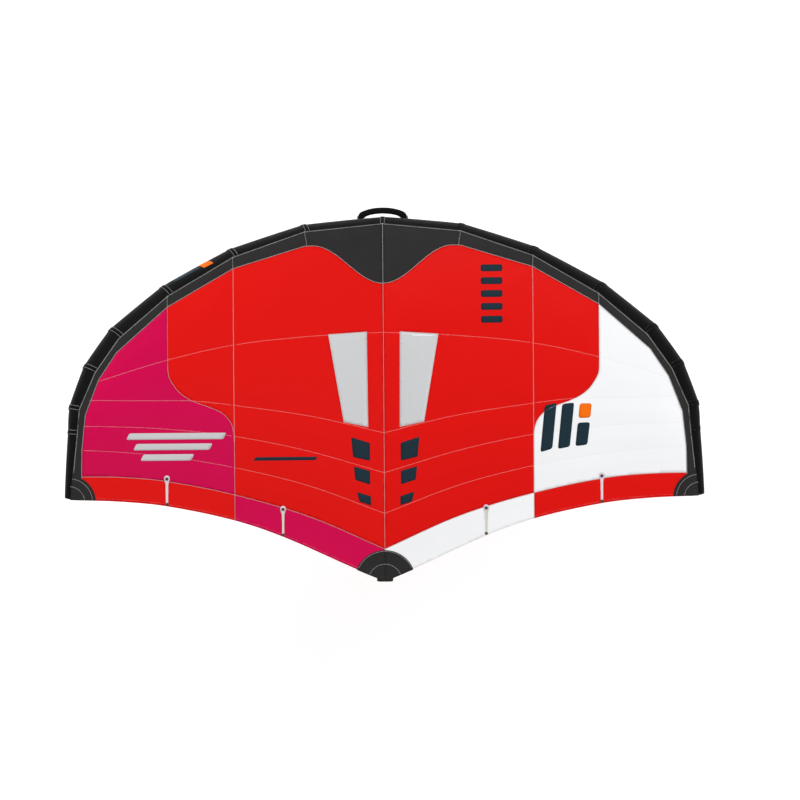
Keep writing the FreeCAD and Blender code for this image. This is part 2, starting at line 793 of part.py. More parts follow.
def lug(name, eye, across, away, on):
    """A saddle pad with one eyed lug: eye is the hole's middle, across its axis, away from the skin."""
    frame = facing(eye, across, away)
    stand_off, wall = dim("hinge_stand_off"), dim("lug_wall")
    deep = stand_off + 45
    plate = made("Box", f"{name}_plate", Width="dims.lug_width", Height="dims.lug_wall")
    plate.Length = deep
    plate.Placement = moved(frame, -deep, -dim("lug_width") / 2, -wall / 2)
    nose = made("Cylinder", f"{name}_nose", Radius="dims.lug_width / 2", Height="dims.lug_wall")
    nose.Placement = moved(frame, 0, 0, -wall / 2)
    block = made("Box", f"{name}_block", Width="dims.saddle_width", Height="dims.saddle_length")
    block.Length = 40
    block.Placement = moved(frame, -stand_off - 32, -dim("saddle_width") / 2, -dim("saddle_length") / 2)
    pad = doc.addObject("Part::MultiCommon", f"{name}_pad")
    pad.Shapes = [block, jacket[on]]
    hole = made("Cylinder", f"{name}_eye", Radius="dims.eye_radius", Height="dims.lug_wall * 3")
    hole.Placement = moved(frame, 0, 0, -1.5 * wall)
    clear = tube_clear if on == "tube" else strut_clear
    return less(f"{name}_lug", joined(name, plate, nose, pad), clear, hole)


def pinned(name, middle, along, reach):
    """The two stub pins of a handle, standing outwards from its legs."""
    pins = []
    for end in (-1, 1):
        pin = made("Cylinder", f"{name}_pin_{end + 1}", Radius="dims.pin_radius", Height="dims.pin_length")
        pin.Placement = facing(middle + along * end * reach, along * end, Vector(0, 0, 1))
        pins.append(pin)
    return pins


def strut_handle(node, back):
    """A rod bent into a U below the strut, its grip, and the two saddles that it swings on."""
    middle, aft, up = handle_frame(back)
    middle -= ORIGIN
    half, drop, bend = dim("handle_half"), dim("handle_drop"), dim("handle_bend")
    radius = dim("handle_rod_radius")
    top = middle + up * radius
    corner = 1 - math.sqrt(0.5)
    ends = []
    for end in (-1, 1):
        leg = aft * end * half
        ends.append((top + leg, middle + leg - up * (drop - bend),
                     middle + aft * end * (half - bend * corner) - up * (drop - bend * corner),
                     middle + aft * end * (half - bend) - up * drop))
    (a0, a1, a2, a3), (b0, b1, b2, b3) = ends
    edges = [Part.LineSegment(a0, a1), Part.Arc(a1, a2, a3), Part.LineSegment(a3, b3), Part.Arc(b3, b2, b1),
             Part.LineSegment(b1, b0)]
    path = Part.Wire([edge.toShape() for edge in edges])
    section = Part.Wire(Part.Circle(a0, up, radius).toShape())
    rod = solid(f"{node}_rod", path.makePipeShell([section], True, False))
    # the pins start inside the legs and stand out of them
    pins = pinned(node, middle, aft, half + radius - dim("pin_root"))
    keep(joined(node, rod, *pins), node)
    grip = less(f"{node}_grip_tube",
                made("Cylinder", f"{node}_grip_outer", Radius="dims.grip_radius", Height="dims.grip_length"),
                made("Cylinder", f"{node}_grip_bore", Radius="dims.handle_rod_radius + 0.1",
                     Height="dims.grip_length"))
    grip.Placement = facing(middle - up * drop - aft * dim("grip_length") / 2, aft, Vector(1, 0, 0))
    keep(grip, f"{node}_grip")
    reach = half + radius + dim("pin_play") + dim("lug_wall") / 2
    group(f"{node}_anchors", [lug(f"{node}_{key}", middle + aft * end * reach, aft * end, -up, "strut")
                              for key, end in (("fore", -1), ("aft", 1))])
    return middle, aft, up


strut_handle("front_handle", dim("front_handle_back"))
rear_middle, rear_aft, rear_up = strut_handle("rear_handle", dim("rear_handle_back"))

# ---------------------------------------------------------------------------------------------
# Handle on the nose: a padded arch that lies level in front of the tube
# ---------------------------------------------------------------------------------------------

nose_middle = at(0, dim("nose_handle_back"), dim("nose_handle_height"))
nose_half = dim("nose_handle_half")
nose_bow = Part.Ellipse(nose_middle, nose_half, dim("nose_handle_reach"))
arch = Part.ArcOfEllipse(nose_bow, math.pi, 2 * math.pi)
stub = Vector(0, 6, 0)
tips = [arch.StartPoint, arch.EndPoint]
path = Part.Wire([Part.LineSegment(tips[0] + stub, tips[0]).toShape(), arch.toShape(),
                  Part.LineSegment(tips[1], tips[1] + stub).toShape()])
section = Part.Ellipse(tips[0] + stub, dim("nose_handle_thick") / 2, dim("nose_handle_deep") / 2)
section.rotate(Placement(tips[0] + stub, Rotation(LEFTWARD, 90), Vector()))
band = Part.Wire(section.toShape())
nose_rod = solid("nose_band", path.makePipeShell([band], True, False))
nose_side = nose_half + dim("nose_handle_thick") / 2
nose_pins = pinned("nose_handle", nose_middle, LEFTWARD, nose_side - dim("pin_root"))
keep(joined("le_handle", nose_rod, *nose_pins), "le_handle")
nose_side += dim("pin_play") + dim("lug_wall") / 2
group("le_handle_anchors", [
    lug(f"nose_handle_{key}", nose_middle + LEFTWARD * end * nose_side, LEFTWARD * end, -BACK, "tube")
    for key, end in (("right", -1), ("left", 1))])


# ---------------------------------------------------------------------------------------------
# Valves: both point straight down, with a cap on a hinge behind the neck
# ---------------------------------------------------------------------------------------------

def box(name, frame, low, high):
    """A block between two corners of a local frame."""
    block = doc.addObject("Part::Box", name)
    block.Length, block.Width, block.Height = [high[n] - low[n] for n in range(3)]
    block.Placement = moved(frame, *low)
    return block


def rod_along_y(name, frame, x, z, radius, length):
    """A cylinder across a local frame, centred on its Y."""
    bar = made("Cylinder", name, Radius=radius)
    bar.Height = length
    bar.Placement = moved(frame, x, 0, z) * Placement(Vector(0, length / 2, 0), Rotation(Vector(1, 0, 0), 90))
    return bar


def flange(name, frame, radius, wall, surface, clear):
    """A round collar on a neck, shaped to the skin that it is glued to."""
    plate = made("Cylinder", name, Radius=radius)
    plate.Height = wall + 9
    plate.Placement = moved(frame, 0, 0, surface - 9)
    return less(name, plate, clear)


def capped(name, frame, neck, top):
    """The ears on a neck, the cap that turns on their pin, and the place of that pin."""
    hinge_x = dim(neck) + 7
    hinge_z = top - 6.5
    ears = [rod_along_y(f"{name}_pin", frame, hinge_x, hinge_z, "1.2", 12)]
    for end in (-1, 1):
        near, far = sorted((end * 4.4, end * 6))
        ears.append(box(f"{name}_arm_{end + 1}", frame, (dim(neck) - 1, near, hinge_z - 3),
                        (hinge_x + 2, far, hinge_z)))
        ears.append(box(f"{name}_ear_{end + 1}", frame, (dim(neck) + 3.2, near, hinge_z - 3),
                        (hinge_x + 2, far, hinge_z + 2)))
    lid = made("Cylinder", f"{name}_lid", Radius=f"dims.{neck} + 2.6")
    lid.Height = 8.5
    lid.Placement = moved(frame, 0, 0, top - 6.2)
    hollow = made("Cylinder", f"{name}_hollow", Radius=f"dims.{neck} + 0.6")
    hollow.Height = 6.5
    hollow.Placement = moved(frame, 0, 0, top - 6.2)
    tab = box(f"{name}_tab", frame, (dim(neck) + 1, -3.8, hinge_z - 2.4), (hinge_x + 2.4, 3.8, hinge_z + 2.4))
    cup = joined(f"{name}_cup", lid, tab)
    pin_hole = rod_along_y(f"{name}_pin_hole", frame, hinge_x, hinge_z, "1.35", 30)
    cap = less(f"{name}_cap", cup, hollow, pin_hole)
    return ears, cap, frame.multVec(Vector(hinge_x, 0, hinge_z))


# local frames start at the inner end of each neck, and their Z points down, out of the skin
valve_frame = facing(valve_skin - DOWN * dim("valve_depth"), DOWN, BACK)
neck = revolved("valve_neck", [
    (["valve_bore_radius"], ["valve_top"]), (["valve_neck_radius"], ["valve_top"]),
    (["valve_neck_radius"], []), (["valve_guide_radius"], []), (["valve_guide_radius"], ["valve_floor"]),
    (["valve_cage_radius"], ["valve_floor"]), (["valve_cage_radius"], ["valve_seat_low"]),
    (["valve_seat_radius"], ["valve_seat_low"]), (["valve_seat_radius"], ["valve_seat_high"]),
    (["valve_bore_radius"], ["valve_seat_high"]),
])
neck.Placement = valve_frame
collar = flange("valve_collar", valve_frame, "dims.valve_flange_radius", 2, dim("valve_depth"), tube_clear)
collar_hole = port("valve_collar_hole", "dims.valve_neck_radius - 1", valve_skin, DOWN)
collar = less("valve_collar_open", collar, collar_hole)
ears, valve_cap, valve_hinge = capped("valve", valve_frame, "valve_neck_radius", dim("valve_top"))
keep(joined("valve_body", neck, collar, *ears), "inflation_valve_body")
keep(valve_cap, "valve_cap")

disc_high = ["valve_disc_low", "valve_disc_wall"]
stem = revolved("valve_stem_turned", [
    ([], []), (["valve_stem_radius"], []), (["valve_stem_radius"], ["valve_disc_low"]),
    (["valve_disc_radius"], ["valve_disc_low"]), (["valve_disc_radius"], disc_high),
    (["valve_stem_radius"], disc_high), (["valve_stem_radius"], ["valve_stem_length"]),
    ([], ["valve_stem_length"]),
])
stem.Placement = moved(valve_frame, 0, 0, -2)
keep(stem, "valve_stem")

coil = Part.makeHelix(1.55, dim("valve_spring_length"), dim("valve_spring_radius"))
start = Vector(dim("valve_spring_radius"), 0, 0)
wire = Part.Wire(Part.Circle(start, BACK, dim("valve_spring_wire")).toShape())
spring = solid("valve_spring_coil", Part.Wire(coil.Edges).makePipeShell([wire], True, True))
spring.Placement = moved(valve_frame, 0, 0, dim("valve_floor") + dim("valve_spring_wire") + 0.1)
keep(spring, "valve_spring")

dump_frame = facing(dump_spot - DOWN * 10, DOWN, BACK)
dump_neck = revolved("dump_neck", [
    (["dump_bore_radius"], []), (["dump_neck_radius"], []), (["dump_neck_radius"], ["dump_top"]),
    (["dump_bore_radius"], ["dump_top"]),
])
dump_neck.Placement = dump_frame
dump_collar = flange("dump_collar", dump_frame, "dims.dump_flange_radius", 2, 10, strut_clear)
dump_collar_hole = port("dump_collar_hole", "dims.dump_neck_radius - 1", dump_spot, DOWN)
dump_collar = less("dump_collar_open", dump_collar, dump_collar_hole)
dump_ears, dump_cap, dump_hinge = capped("dump", dump_frame, "dump_neck_radius", dim("dump_top"))
keep(joined("dump_body", dump_neck, dump_collar, *dump_ears), "dump_valve_body")
keep(dump_cap, "dump_valve_cap")

# ---------------------------------------------------------------------------------------------
# Hose between the leading edge and the strut, its two nipples, and a pinch clip with a lever
# ---------------------------------------------------------------------------------------------

hose_end.z = hose_start.z
corner = Vector(hose_start.x, hose_end.y, hose_start.z)
bend = dim("hose_bend")
lift = dim("nipple_flange_wall") + 1.5
first = hose_start + BACK * lift
last = hose_end + LEFTWARD * lift
turn_in = corner - BACK * bend
turn_out = corner + RIGHTWARD * bend
middle = corner + (RIGHTWARD - BACK) * bend * (1 - math.sqrt(0.5))
hose_edges = (Part.LineSegment(first, turn_in), Part.Arc(turn_in, middle, turn_out),
              Part.LineSegment(turn_out, last))
hose_path = Part.Wire([edge.toShape() for edge in hose_edges])
skins = []
for radius in (dim("hose_radius"), dim("hose_bore_radius")):
    circle = Part.Wire(Part.Circle(first, BACK, radius).toShape())
    skins.append(hose_path.makePipeShell([circle], True, False))
keep(solid("hose_tube", skins[0].cut(skins[1])), "bridge_hose")

nipples = []
for name, foot, out, clear in (("le_nipple", hose_start, BACK, tube_clear),
                               ("strut_nipple", hose_end, LEFTWARD, strut_clear)):
    frame = facing(foot, out, Vector(0, 0, 1))
    plate, barb, bore = (
        made("Cylinder", f"{name}_{key}", Radius=f"dims.nipple_{radius}", Height=f"dims.nipple_{height}")
        for key, radius, height in (("plate", "flange_radius", "flange_wall + 8"),
                                    ("barb", "radius", "length + 14"),
                                    ("bore", "bore_radius", "length + 40"))
    )
    for tube_piece, start in ((plate, -8), (barb, -14), (bore, -25)):
        tube_piece.Placement = moved(frame, 0, 0, start)
    nipples.append(less(name, joined(f"{name}_whole", less(f"{name}_pad", plate, clear), barb), bore))
group("hose_nipples", nipples)

clip_middle = Vector(hose_start.x, dim("clip_back") - ORIGIN.y, hose_start.z)
clip_frame = Placement(clip_middle, Rotation())
wide, long = dim("clip_width") / 2, dim("clip_length") / 2
hold = dim("hose_radius") + 0.3
# the lever's pin lies above the hose, near one side of the block
pin_x, pin_z = wide - dim("clip_wall"), hold + 3.2
block = box("clip_block", clip_frame, (-wide, -long, -hold - dim("clip_wall")), (wide, long, pin_z + 2.4))
channel = box("clip_channel", clip_frame, (-hold, -long - 1, 0), (hold, long + 1, 30))
round_floor = rod_along_y("clip_floor", clip_frame, 0, 0, "dims.hose_radius + 0.3", 40)
shelf = box("clip_shelf", clip_frame, (-wide - 1, -long - 1, hold - 0.5), (hold, long + 1, 30))
slot = box("clip_slot", clip_frame, (hold - 2, -long / 2 - 0.4, pin_z - 4), (wide + 1, long / 2 + 0.4, 30))
clip_pin = rod_along_y("clip_pin", clip_frame, pin_x, pin_z, "1.2", 2 * long)
keep(joined("clip_base", less("clip_body", block, channel, round_floor, shelf, slot), clip_pin), "hose_clip")
knuckle = rod_along_y("lever_knuckle", clip_frame, pin_x, pin_z, "2.4", long)
arm = box("lever_arm", clip_frame, (-wide - 8, -long / 2, pin_z - 2.4), (pin_x, long / 2, pin_z + 0.6))
foot = box("lever_foot", clip_frame, (-4, -long / 2, hold + 0.4), (4, long / 2, pin_z - 1))
lever_eye = rod_along_y("lever_eye", clip_frame, pin_x, pin_z, "1.35", 40)
keep(less("clip_lever", joined("lever_whole", knuckle, arm, foot), lever_eye), "hose_clip_lever")

# ---------------------------------------------------------------------------------------------
# Zip under the strut, its slider, the webbing loops and the leash ring
# ---------------------------------------------------------------------------------------------

zip_low, zip_high = (
    under_strut(dim("zip_back") + end * dim("zip_length") / 2) for end in (-1, 1)
)
zip_along = (zip_high - zip_low).normalize()
zip_side = dim("zip_width") / 2
strip = box("zip_block", Placement(), (-zip_side, zip_low.y, zip_low.z - 20),
            (zip_side, zip_high.y, zip_high.z + 30))
zip_jacket = strut_solid("zip_jacket", -dim("saddle_gap") - dim("zip_wall"))
zip_band = doc.addObject("Part::MultiCommon", "zip_band")
zip_band.Shapes = [strip, zip_jacket]
keep(less("zip_tape", zip_band, strut_clear), "strut_zip")

# the slider runs straight, just below the tape's slight curve; its own frame's X points down
slider_frame = facing(zip_low + zip_along * 4, zip_along, LEFTWARD.cross(zip_along) * -1)
near = dim("saddle_gap") + dim("zip_wall") + dim("slider_gap")
far = near + dim("slider_height")
slider_side = dim("slider_width") / 2
car = box("slider_body", slider_frame, (near, -slider_side, 0), (far, slider_side, dim("slider_length")))
pull = box("slider_pull", slider_frame, (far - 0.5, -2.5, -16), (far + 1.5, 2.5, 8))
keep(joined("slider", car, pull), "zip_slider")

leash_eye = at(*AXIS[0]) + LEASH_AWAY * (RADII[0] + dim("hinge_stand_off"))
loops = [lug("leash", leash_eye, LEFTWARD, LEASH_AWAY, "tube")]
harness_eyes = []
for place in ("front", "rear"):
    harness_eyes.append(under_strut(dim(f"harness_{place}_back")) + DOWN * dim("hinge_stand_off"))
    loops.append(lug(f"harness_{place}", harness_eyes[-1], LEFTWARD, DOWN, "strut"))
group("webbing_loops", loops)
ring_body = made("Torus", "leash_torus", Radius1="dims.ring_radius", Radius2="dims.ring_wire")
ring_body.Placement = facing(leash_eye + DOWN * dim("ring_radius"), BACK, LEFTWARD)
keep(ring_body, "leash_ring")

# ---------------------------------------------------------------------------------------------
# Check and write
# ---------------------------------------------------------------------------------------------

doc.recompute()
for obj in doc.Objects:
    if {"Invalid", "Error"} & set(obj.State):
        raise RuntimeError(f"{obj.Name} did not recompute: {obj.State}")
os.makedirs("parts", exist_ok=True)
for obj in parts:
    shape = obj.Shape
    if shape.isNull() or not shape.isValid() or not shape.Solids:
        raise RuntimeError(f"{obj.Label} is not a valid solid")
    print(f"{obj.Label}: {len(shape.Solids)} solids, {shape.Volume:.0f} mm3")
    shape.exportStep(f"parts/{obj.Label}.step")


def told(name, *vectors):
    """Places and directions that the record repeats, in mm."""
    print("PLACE", name, *[round(value, 4) for vector in vectors for value in vector])


told("origin", ORIGIN)
told("front_handle", front_middle - ORIGIN, front_aft, front_up)
told("rear_handle", rear_middle, rear_aft, rear_up)
told("nose_handle", nose_middle)
told("valve_skin", valve_skin)
told("valve_hinge", valve_hinge)
told("dump_skin", dump_spot)
told("dump_hinge", dump_hinge)
told("clip_pin", clip_middle + Vector(pin_x, 0, pin_z))
told("zip", zip_low, zip_along)
told("leash_eye", leash_eye)
told("harness", *harness_eyes)
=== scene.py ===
"""The looks of an inflatable hand-held wing for foil boarding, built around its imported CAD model.

Shapes are drawn from the nose in millimetres: span (x), distance back (y), height (z). at() turns them into
the row's own frame in metres. +X is the wing's own left and the leading edge faces -Y.
"""

import json
import math

import bpy
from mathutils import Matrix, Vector, geometry, kdtree


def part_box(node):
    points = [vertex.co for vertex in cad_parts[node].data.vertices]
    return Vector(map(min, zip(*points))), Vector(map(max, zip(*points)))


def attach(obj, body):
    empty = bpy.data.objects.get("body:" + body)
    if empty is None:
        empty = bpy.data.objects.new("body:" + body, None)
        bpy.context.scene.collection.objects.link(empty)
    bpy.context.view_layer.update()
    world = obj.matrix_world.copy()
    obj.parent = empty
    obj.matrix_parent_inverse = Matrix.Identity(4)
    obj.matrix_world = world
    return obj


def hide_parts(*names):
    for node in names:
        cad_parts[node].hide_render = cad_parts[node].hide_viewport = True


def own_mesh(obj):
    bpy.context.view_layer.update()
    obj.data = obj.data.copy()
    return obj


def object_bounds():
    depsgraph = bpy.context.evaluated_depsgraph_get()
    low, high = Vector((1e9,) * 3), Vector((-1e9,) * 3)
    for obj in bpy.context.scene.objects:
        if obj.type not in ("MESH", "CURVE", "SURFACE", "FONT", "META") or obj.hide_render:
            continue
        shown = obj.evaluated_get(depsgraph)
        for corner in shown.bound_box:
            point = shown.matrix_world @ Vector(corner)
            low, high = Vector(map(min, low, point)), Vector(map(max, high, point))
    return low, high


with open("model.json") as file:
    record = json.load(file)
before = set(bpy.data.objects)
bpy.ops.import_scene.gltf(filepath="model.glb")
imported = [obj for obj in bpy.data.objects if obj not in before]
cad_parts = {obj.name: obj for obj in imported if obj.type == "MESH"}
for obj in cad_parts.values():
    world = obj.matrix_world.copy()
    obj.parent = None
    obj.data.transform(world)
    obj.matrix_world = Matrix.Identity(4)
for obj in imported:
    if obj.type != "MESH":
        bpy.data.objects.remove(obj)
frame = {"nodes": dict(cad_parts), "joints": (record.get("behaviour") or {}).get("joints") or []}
NODES = frame["nodes"]
JOINTS = {joint["name"]: joint for joint in frame["joints"]}
CAD_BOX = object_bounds()
MM = 0.001
# the middle of the front handle's grip, from the nose: the row's origin
ORIGIN = Vector((0, 530.8201, -75.1485))
SIDES = {"left": 1, "right": -1}


def at(x, y, z):
    """A place given from the nose in millimetres, in the row's frame."""
    return (Vector((x, y, z)) - ORIGIN) * MM


def from_nose(point):
    """A place in the row's frame, as millimetres from the nose."""
    return Vector(point) / MM + ORIGIN


# ---------------------------------------------------------------------------------------------
# The wing's surfaces, as the CAD draws them
# ---------------------------------------------------------------------------------------------

# leading-edge tube: span, distance back and radius at its stitched joints, and the canopy seam's offset
TUBE = (
    (0, 95, 95, 67), (328, 126, 95, 65), (634, 222, 91, 54), (918, 371, 85, 37), (1135, 538, 77, 22),
    (1243, 678, 69, 14), (1310, 836, 60, 16), (1320, 935, 54, 14), (1348, 1218, 42, 16),
)
EDGE = ((0, 1591), (122, 1540), (445, 1394), (659, 1320), (947, 1257), (1148, 1235), (1364, 1226))
BAND = ((0, 1452), (325, 1309), (652, 1210), (964, 1146), (1166, 1128), (1364, 1125))
STRUT = ((100, 56), (450, 65), (900, 62), (1300, 48), (1530, 34.5), (1593, 34.5))
DIHEDRAL_SLOPE = 0.15
DIHEDRAL_CURVE = 0.0000864
CAMBER = 0.06
CAMBER_SHAPE = 4.83
EDGE_HEIGHT = 20
EDGE_HEIGHT_TIP = 42
HALF_SPAN = 1364
CANOPY_GAP = 3
CANOPY_WALL = 1.2
SLEEVE_WALL = 1.2
PATCH_WALL = 1.0
LAST = len(TUBE) - 1


def curve(points, x):
    """A smooth curve through points: cubic spans whose slopes follow their neighbours."""
    last = len(points) - 1
    i = max(k for k in range(last) if k == 0 or points[k][0] <= x)
    (x0, y0), (x1, y1) = points[i], points[i + 1]

    def slope(k):
        before, after = points[max(k - 1, 0)], points[min(k + 1, last)]
        return (after[1] - before[1]) / (after[0] - before[0])

    width = x1 - x0
    f = (x - x0) / width
    return (
        (2 * f**3 - 3 * f**2 + 1) * y0
        + (f**3 - 2 * f**2 + f) * width * slope(i)
        + (3 * f**2 - 2 * f**3) * y1
        + (f**3 - f**2) * width * slope(i + 1)
    )


def rise(x):
    return DIHEDRAL_SLOPE * abs(x) + DIHEDRAL_CURVE * x * x


AXIS = [Vector((span, back, rise(span))) for span, back, _, _ in TUBE]
RADII = [joint[2] for joint in TUBE]
CROWN = [(joint[0], 1.05 * joint[2]) for joint in TUBE]


def tube_top(x, y):
    """Height of the leading-edge tube's upper surface, or None beside the tube."""
    best = None
    for k in range(LAST):
        a, b = AXIS[k], AXIS[k + 1]
        run_x, run_y = b.x - a.x, b.y - a.y
        length = math.hypot(run_x, run_y)
        f = min(max(((x - a.x) * run_x + (y - a.y) * run_y) / length**2, 0), 1)
        foot = a + (b - a) * f
        aside = math.hypot(x - foot.x, y - foot.y)
        radius = RADII[k] + (RADII[k + 1] - RADII[k]) * f
        if aside < radius:
            z = foot.z + math.sqrt(radius**2 - aside**2) * (b - a).length / length
            best = z if best is None else max(best, z)
    return best


def canopy_height(x, y):
    """Height of the canopy's underside: a cambered sheet that lies over the tube's crown."""
    x = abs(x)
    reach = min(x, 1350) / 1360
    start = AXIS[0].y + 1100 * (1 - math.sqrt(1 - reach**2.15))
    chord = curve(EDGE, x) - start
    u = min(max((y - start) / chord, -0.2), 1)
    aft = max(1 - u, 0)
    lift = EDGE_HEIGHT + (EDGE_HEIGHT_TIP - EDGE_HEIGHT) * (x / HALF_SPAN) ** 3
    z = rise(x) + lift * u + curve(CROWN, min(x, TUBE[LAST][0])) * aft**1.5
    z += CAMBER_SHAPE * CAMBER * chord * u * aft**1.3
    top = tube_top(x, y)
    if top is not None:
        near = max(12 - abs(z - top), 0) / 12
        z = max(z, top) + near * near * 12 / 4
    return z + CANOPY_GAP


def strut_radius(y):
    return curve(STRUT, y)


STRUT_GAP = 1.8
STRUT_DROOP = 7
STRUT_DROOP_START = 1300
STRUT_LEVEL = 1541


def strut_axis(y):
    """Height of the strut's axis: its top follows the canopy, then droops to a level last stretch."""
    y = min(y, STRUT_LEVEL)
    past = max(y - STRUT_DROOP_START, 0) / (STRUT_LEVEL - STRUT_DROOP_START)
    return canopy_height(0, y) - STRUT_GAP - STRUT_DROOP * past**2 - strut_radius(y)


# ---------------------------------------------------------------------------------------------
# Materials
# ---------------------------------------------------------------------------------------------


class Finish:
    """A Principled material, with short calls for the nodes that vary its colour, gloss and relief."""

    def __init__(self, name, colour, roughness, **sockets):
        self.material = bpy.data.materials.new(name)
        self.material.use_nodes = True
        self.tree = self.material.node_tree
        self.shader = self.tree.nodes["Principled BSDF"]
        self.shader.inputs["Base Color"].default_value = (*colour, 1)
        self.shader.inputs["Roughness"].default_value = roughness
        for socket, value in sockets.items():
            self.shader.inputs[socket.replace("_", " ")].default_value = value
        self.colour = colour
        self.material.diffuse_color = (*colour, 1)
        self.place = self.node("TexCoord").outputs["Object"]

    def node(self, kind, **settings):
        made = self.tree.nodes.new(f"ShaderNode{kind}")
        for key, value in settings.items():
            setattr(made, key, value)
        return made

    def link(self, source, target):
        self.tree.links.new(source, target)

    def math(self, operation, first, second=None):
        made = self.node("Math", operation=operation)
        for socket, value in zip(made.inputs, (first, second)):
            if value is None:
                continue
            if isinstance(value, (int, float)):
                socket.default_value = value
            else:
                self.link(value, socket)
        return made.outputs[0]

    def noise(self, size, detail=2, roughness=0.5, stretch=None):
        """Soft noise whose patches are about size metres across, or stretched by three factors."""
        made = self.node("TexNoise")
        made.inputs["Scale"].default_value = 1 / size
        made.inputs["Detail"].default_value = detail
        made.inputs["Roughness"].default_value = roughness
        if stretch:
            mapping = self.node("Mapping")
            mapping.inputs["Scale"].default_value = stretch
            self.link(self.place, mapping.inputs["Vector"])
            self.link(mapping.outputs[0], made.inputs["Vector"])
        else:
            self.link(self.place, made.inputs["Vector"])
        return made.outputs["Fac"]

    def threads(self, pitch, axes, sharp):
        """Raised threads at a pitch along some axes: higher where sharp is larger means thinner threads."""
        split = self.node("SeparateXYZ")
        self.link(self.place, split.inputs[0])
        total = None
        for axis in axes:
            wave = self.math("COSINE", self.math("MULTIPLY", split.outputs[axis], 2 * math.pi / pitch))
            peak = self.math("POWER", self.math("MAXIMUM", wave, 0), sharp)
            total = peak if total is None else self.math("ADD", total, peak)
        return total

    def tint(self, fac, colour, low=0.0, high=1.0):
        """Mixes the colour so far with another one, by fac, from low to high."""
        ramp = self.node("MapRange")
        ramp.inputs["To Min"].default_value = low
        ramp.inputs["To Max"].default_value = high
        self.link(fac, ramp.inputs["Value"])
        mix = self.node("Mix", data_type="RGBA")
        self.link(ramp.outputs[0], mix.inputs["Factor"])
        before = self.shader.inputs["Base Color"]
        if before.is_linked:
            self.link(before.links[0].from_socket, mix.inputs["A"])
        else:
            mix.inputs["A"].default_value = (*self.colour, 1)
        mix.inputs["B"].default_value = (*colour, 1)
        self.link(mix.outputs["Result"], before)
        return self

    def gloss(self, fac, low, high):
        """Lets roughness run between two values with fac."""
        ramp = self.node("MapRange")
        ramp.inputs["To Min"].default_value = low
        ramp.inputs["To Max"].default_value = high
        self.link(fac, ramp.inputs["Value"])
        self.link(ramp.outputs[0], self.shader.inputs["Roughness"])
        return self

    def relief(self, height, depth, strength=1.0):
        """Adds relief of a depth in metres, on top of what is there."""
        bump = self.node("Bump")
        bump.inputs["Strength"].default_value = strength
        bump.inputs["Distance"].default_value = depth
        self.link(height, bump.inputs["Height"])
        normal = self.shader.inputs["Normal"]
        if normal.is_linked:
            self.link(normal.links[0].from_socket, bump.inputs["Normal"])
        self.link(bump.outputs[0], normal)
        return self


def shade(colour, factor):
    return tuple(min(channel * factor, 1) for channel in colour)


def sailcloth(name, colour, roughness=0.42, lighter=1.15, shine=0.06):
    """Light ripstop: a 5 mm grid of thicker threads over a fine weave, a little crinkled."""
    made = Finish(name, colour, roughness, Specular_IOR_Level=shine)
    grid = made.threads(0.005, "XY", 20)
    made.tint(made.noise(0.22, 3), shade(colour, 0.9), -0.1, 0.5)
    made.tint(grid, shade(colour, lighter), 0, 0.35)
    made.gloss(made.noise(0.05, 3), roughness - 0.05, roughness + 0.08)
    made.relief(made.noise(0.035, 3, 0.55), 0.0016, 0.35)
    made.relief(grid, 0.00025, 0.6)
    made.relief(made.threads(0.0009, "XY", 1), 0.0001, 0.5)
    return made.material


def tubecloth(name, colour, pitch=0.0016, roughness=0.5, depth=0.00018):
    """Dense woven polyester, stretched tight and a little worn."""
    made = Finish(name, colour, roughness, Specular_IOR_Level=0.05)
    weave = made.threads(pitch, "XYZ", 2)
    made.tint(made.noise(0.12, 4), shade(colour, 1.5), -0.2, 0.6)
    made.tint(weave, shade(colour, 1.3), 0, 0.25)
    made.gloss(made.noise(0.03, 3), roughness - 0.07, roughness + 0.1)
    made.relief(made.noise(0.02, 3), 0.0009, 0.3)
    made.relief(weave, depth, 0.6)
    return made.material


def moulded(name, colour, roughness=0.45, grain=0.0012, **sockets):
    """Moulded plastic or rubber with a spark-eroded grain and faint scuffs."""
    made = Finish(name, colour, roughness, **sockets)
    made.tint(made.noise(0.02, 4), shade(colour, 1.5), -0.2, 0.5)
    made.gloss(made.noise(0.008, 4), roughness - 0.1, roughness + 0.12)
    made.relief(made.noise(grain, 2), 0.0001, 0.5)
    return made.material


def metal(name, colour, roughness=0.28):
    """Brushed steel with fine scratches along it."""
    made = Finish(name, colour, roughness, Metallic=1.0)
    scratches = made.noise(0.002, 3, 0.6, (1, 8, 8))
    made.tint(scratches, shade(colour, 0.75), 0, 0.6)
    made.gloss(scratches, roughness - 0.08, roughness + 0.15)
    made.relief(scratches, 0.00003, 0.4)
    return made.material


RED = (0.68, 0.0052, 0.0036)
MAGENTA = (0.575, 0.0006, 0.068)
WHITE = (0.86, 0.87, 0.885)
CHARCOAL = (0.0215, 0.0205, 0.0205)
BLACK = (0.0032, 0.0036, 0.0034)
SLATE = (0.0115, 0.028, 0.040)
ORANGE = (0.87, 0.155, 0.004)
SILVER = (0.56, 0.56, 0.58)

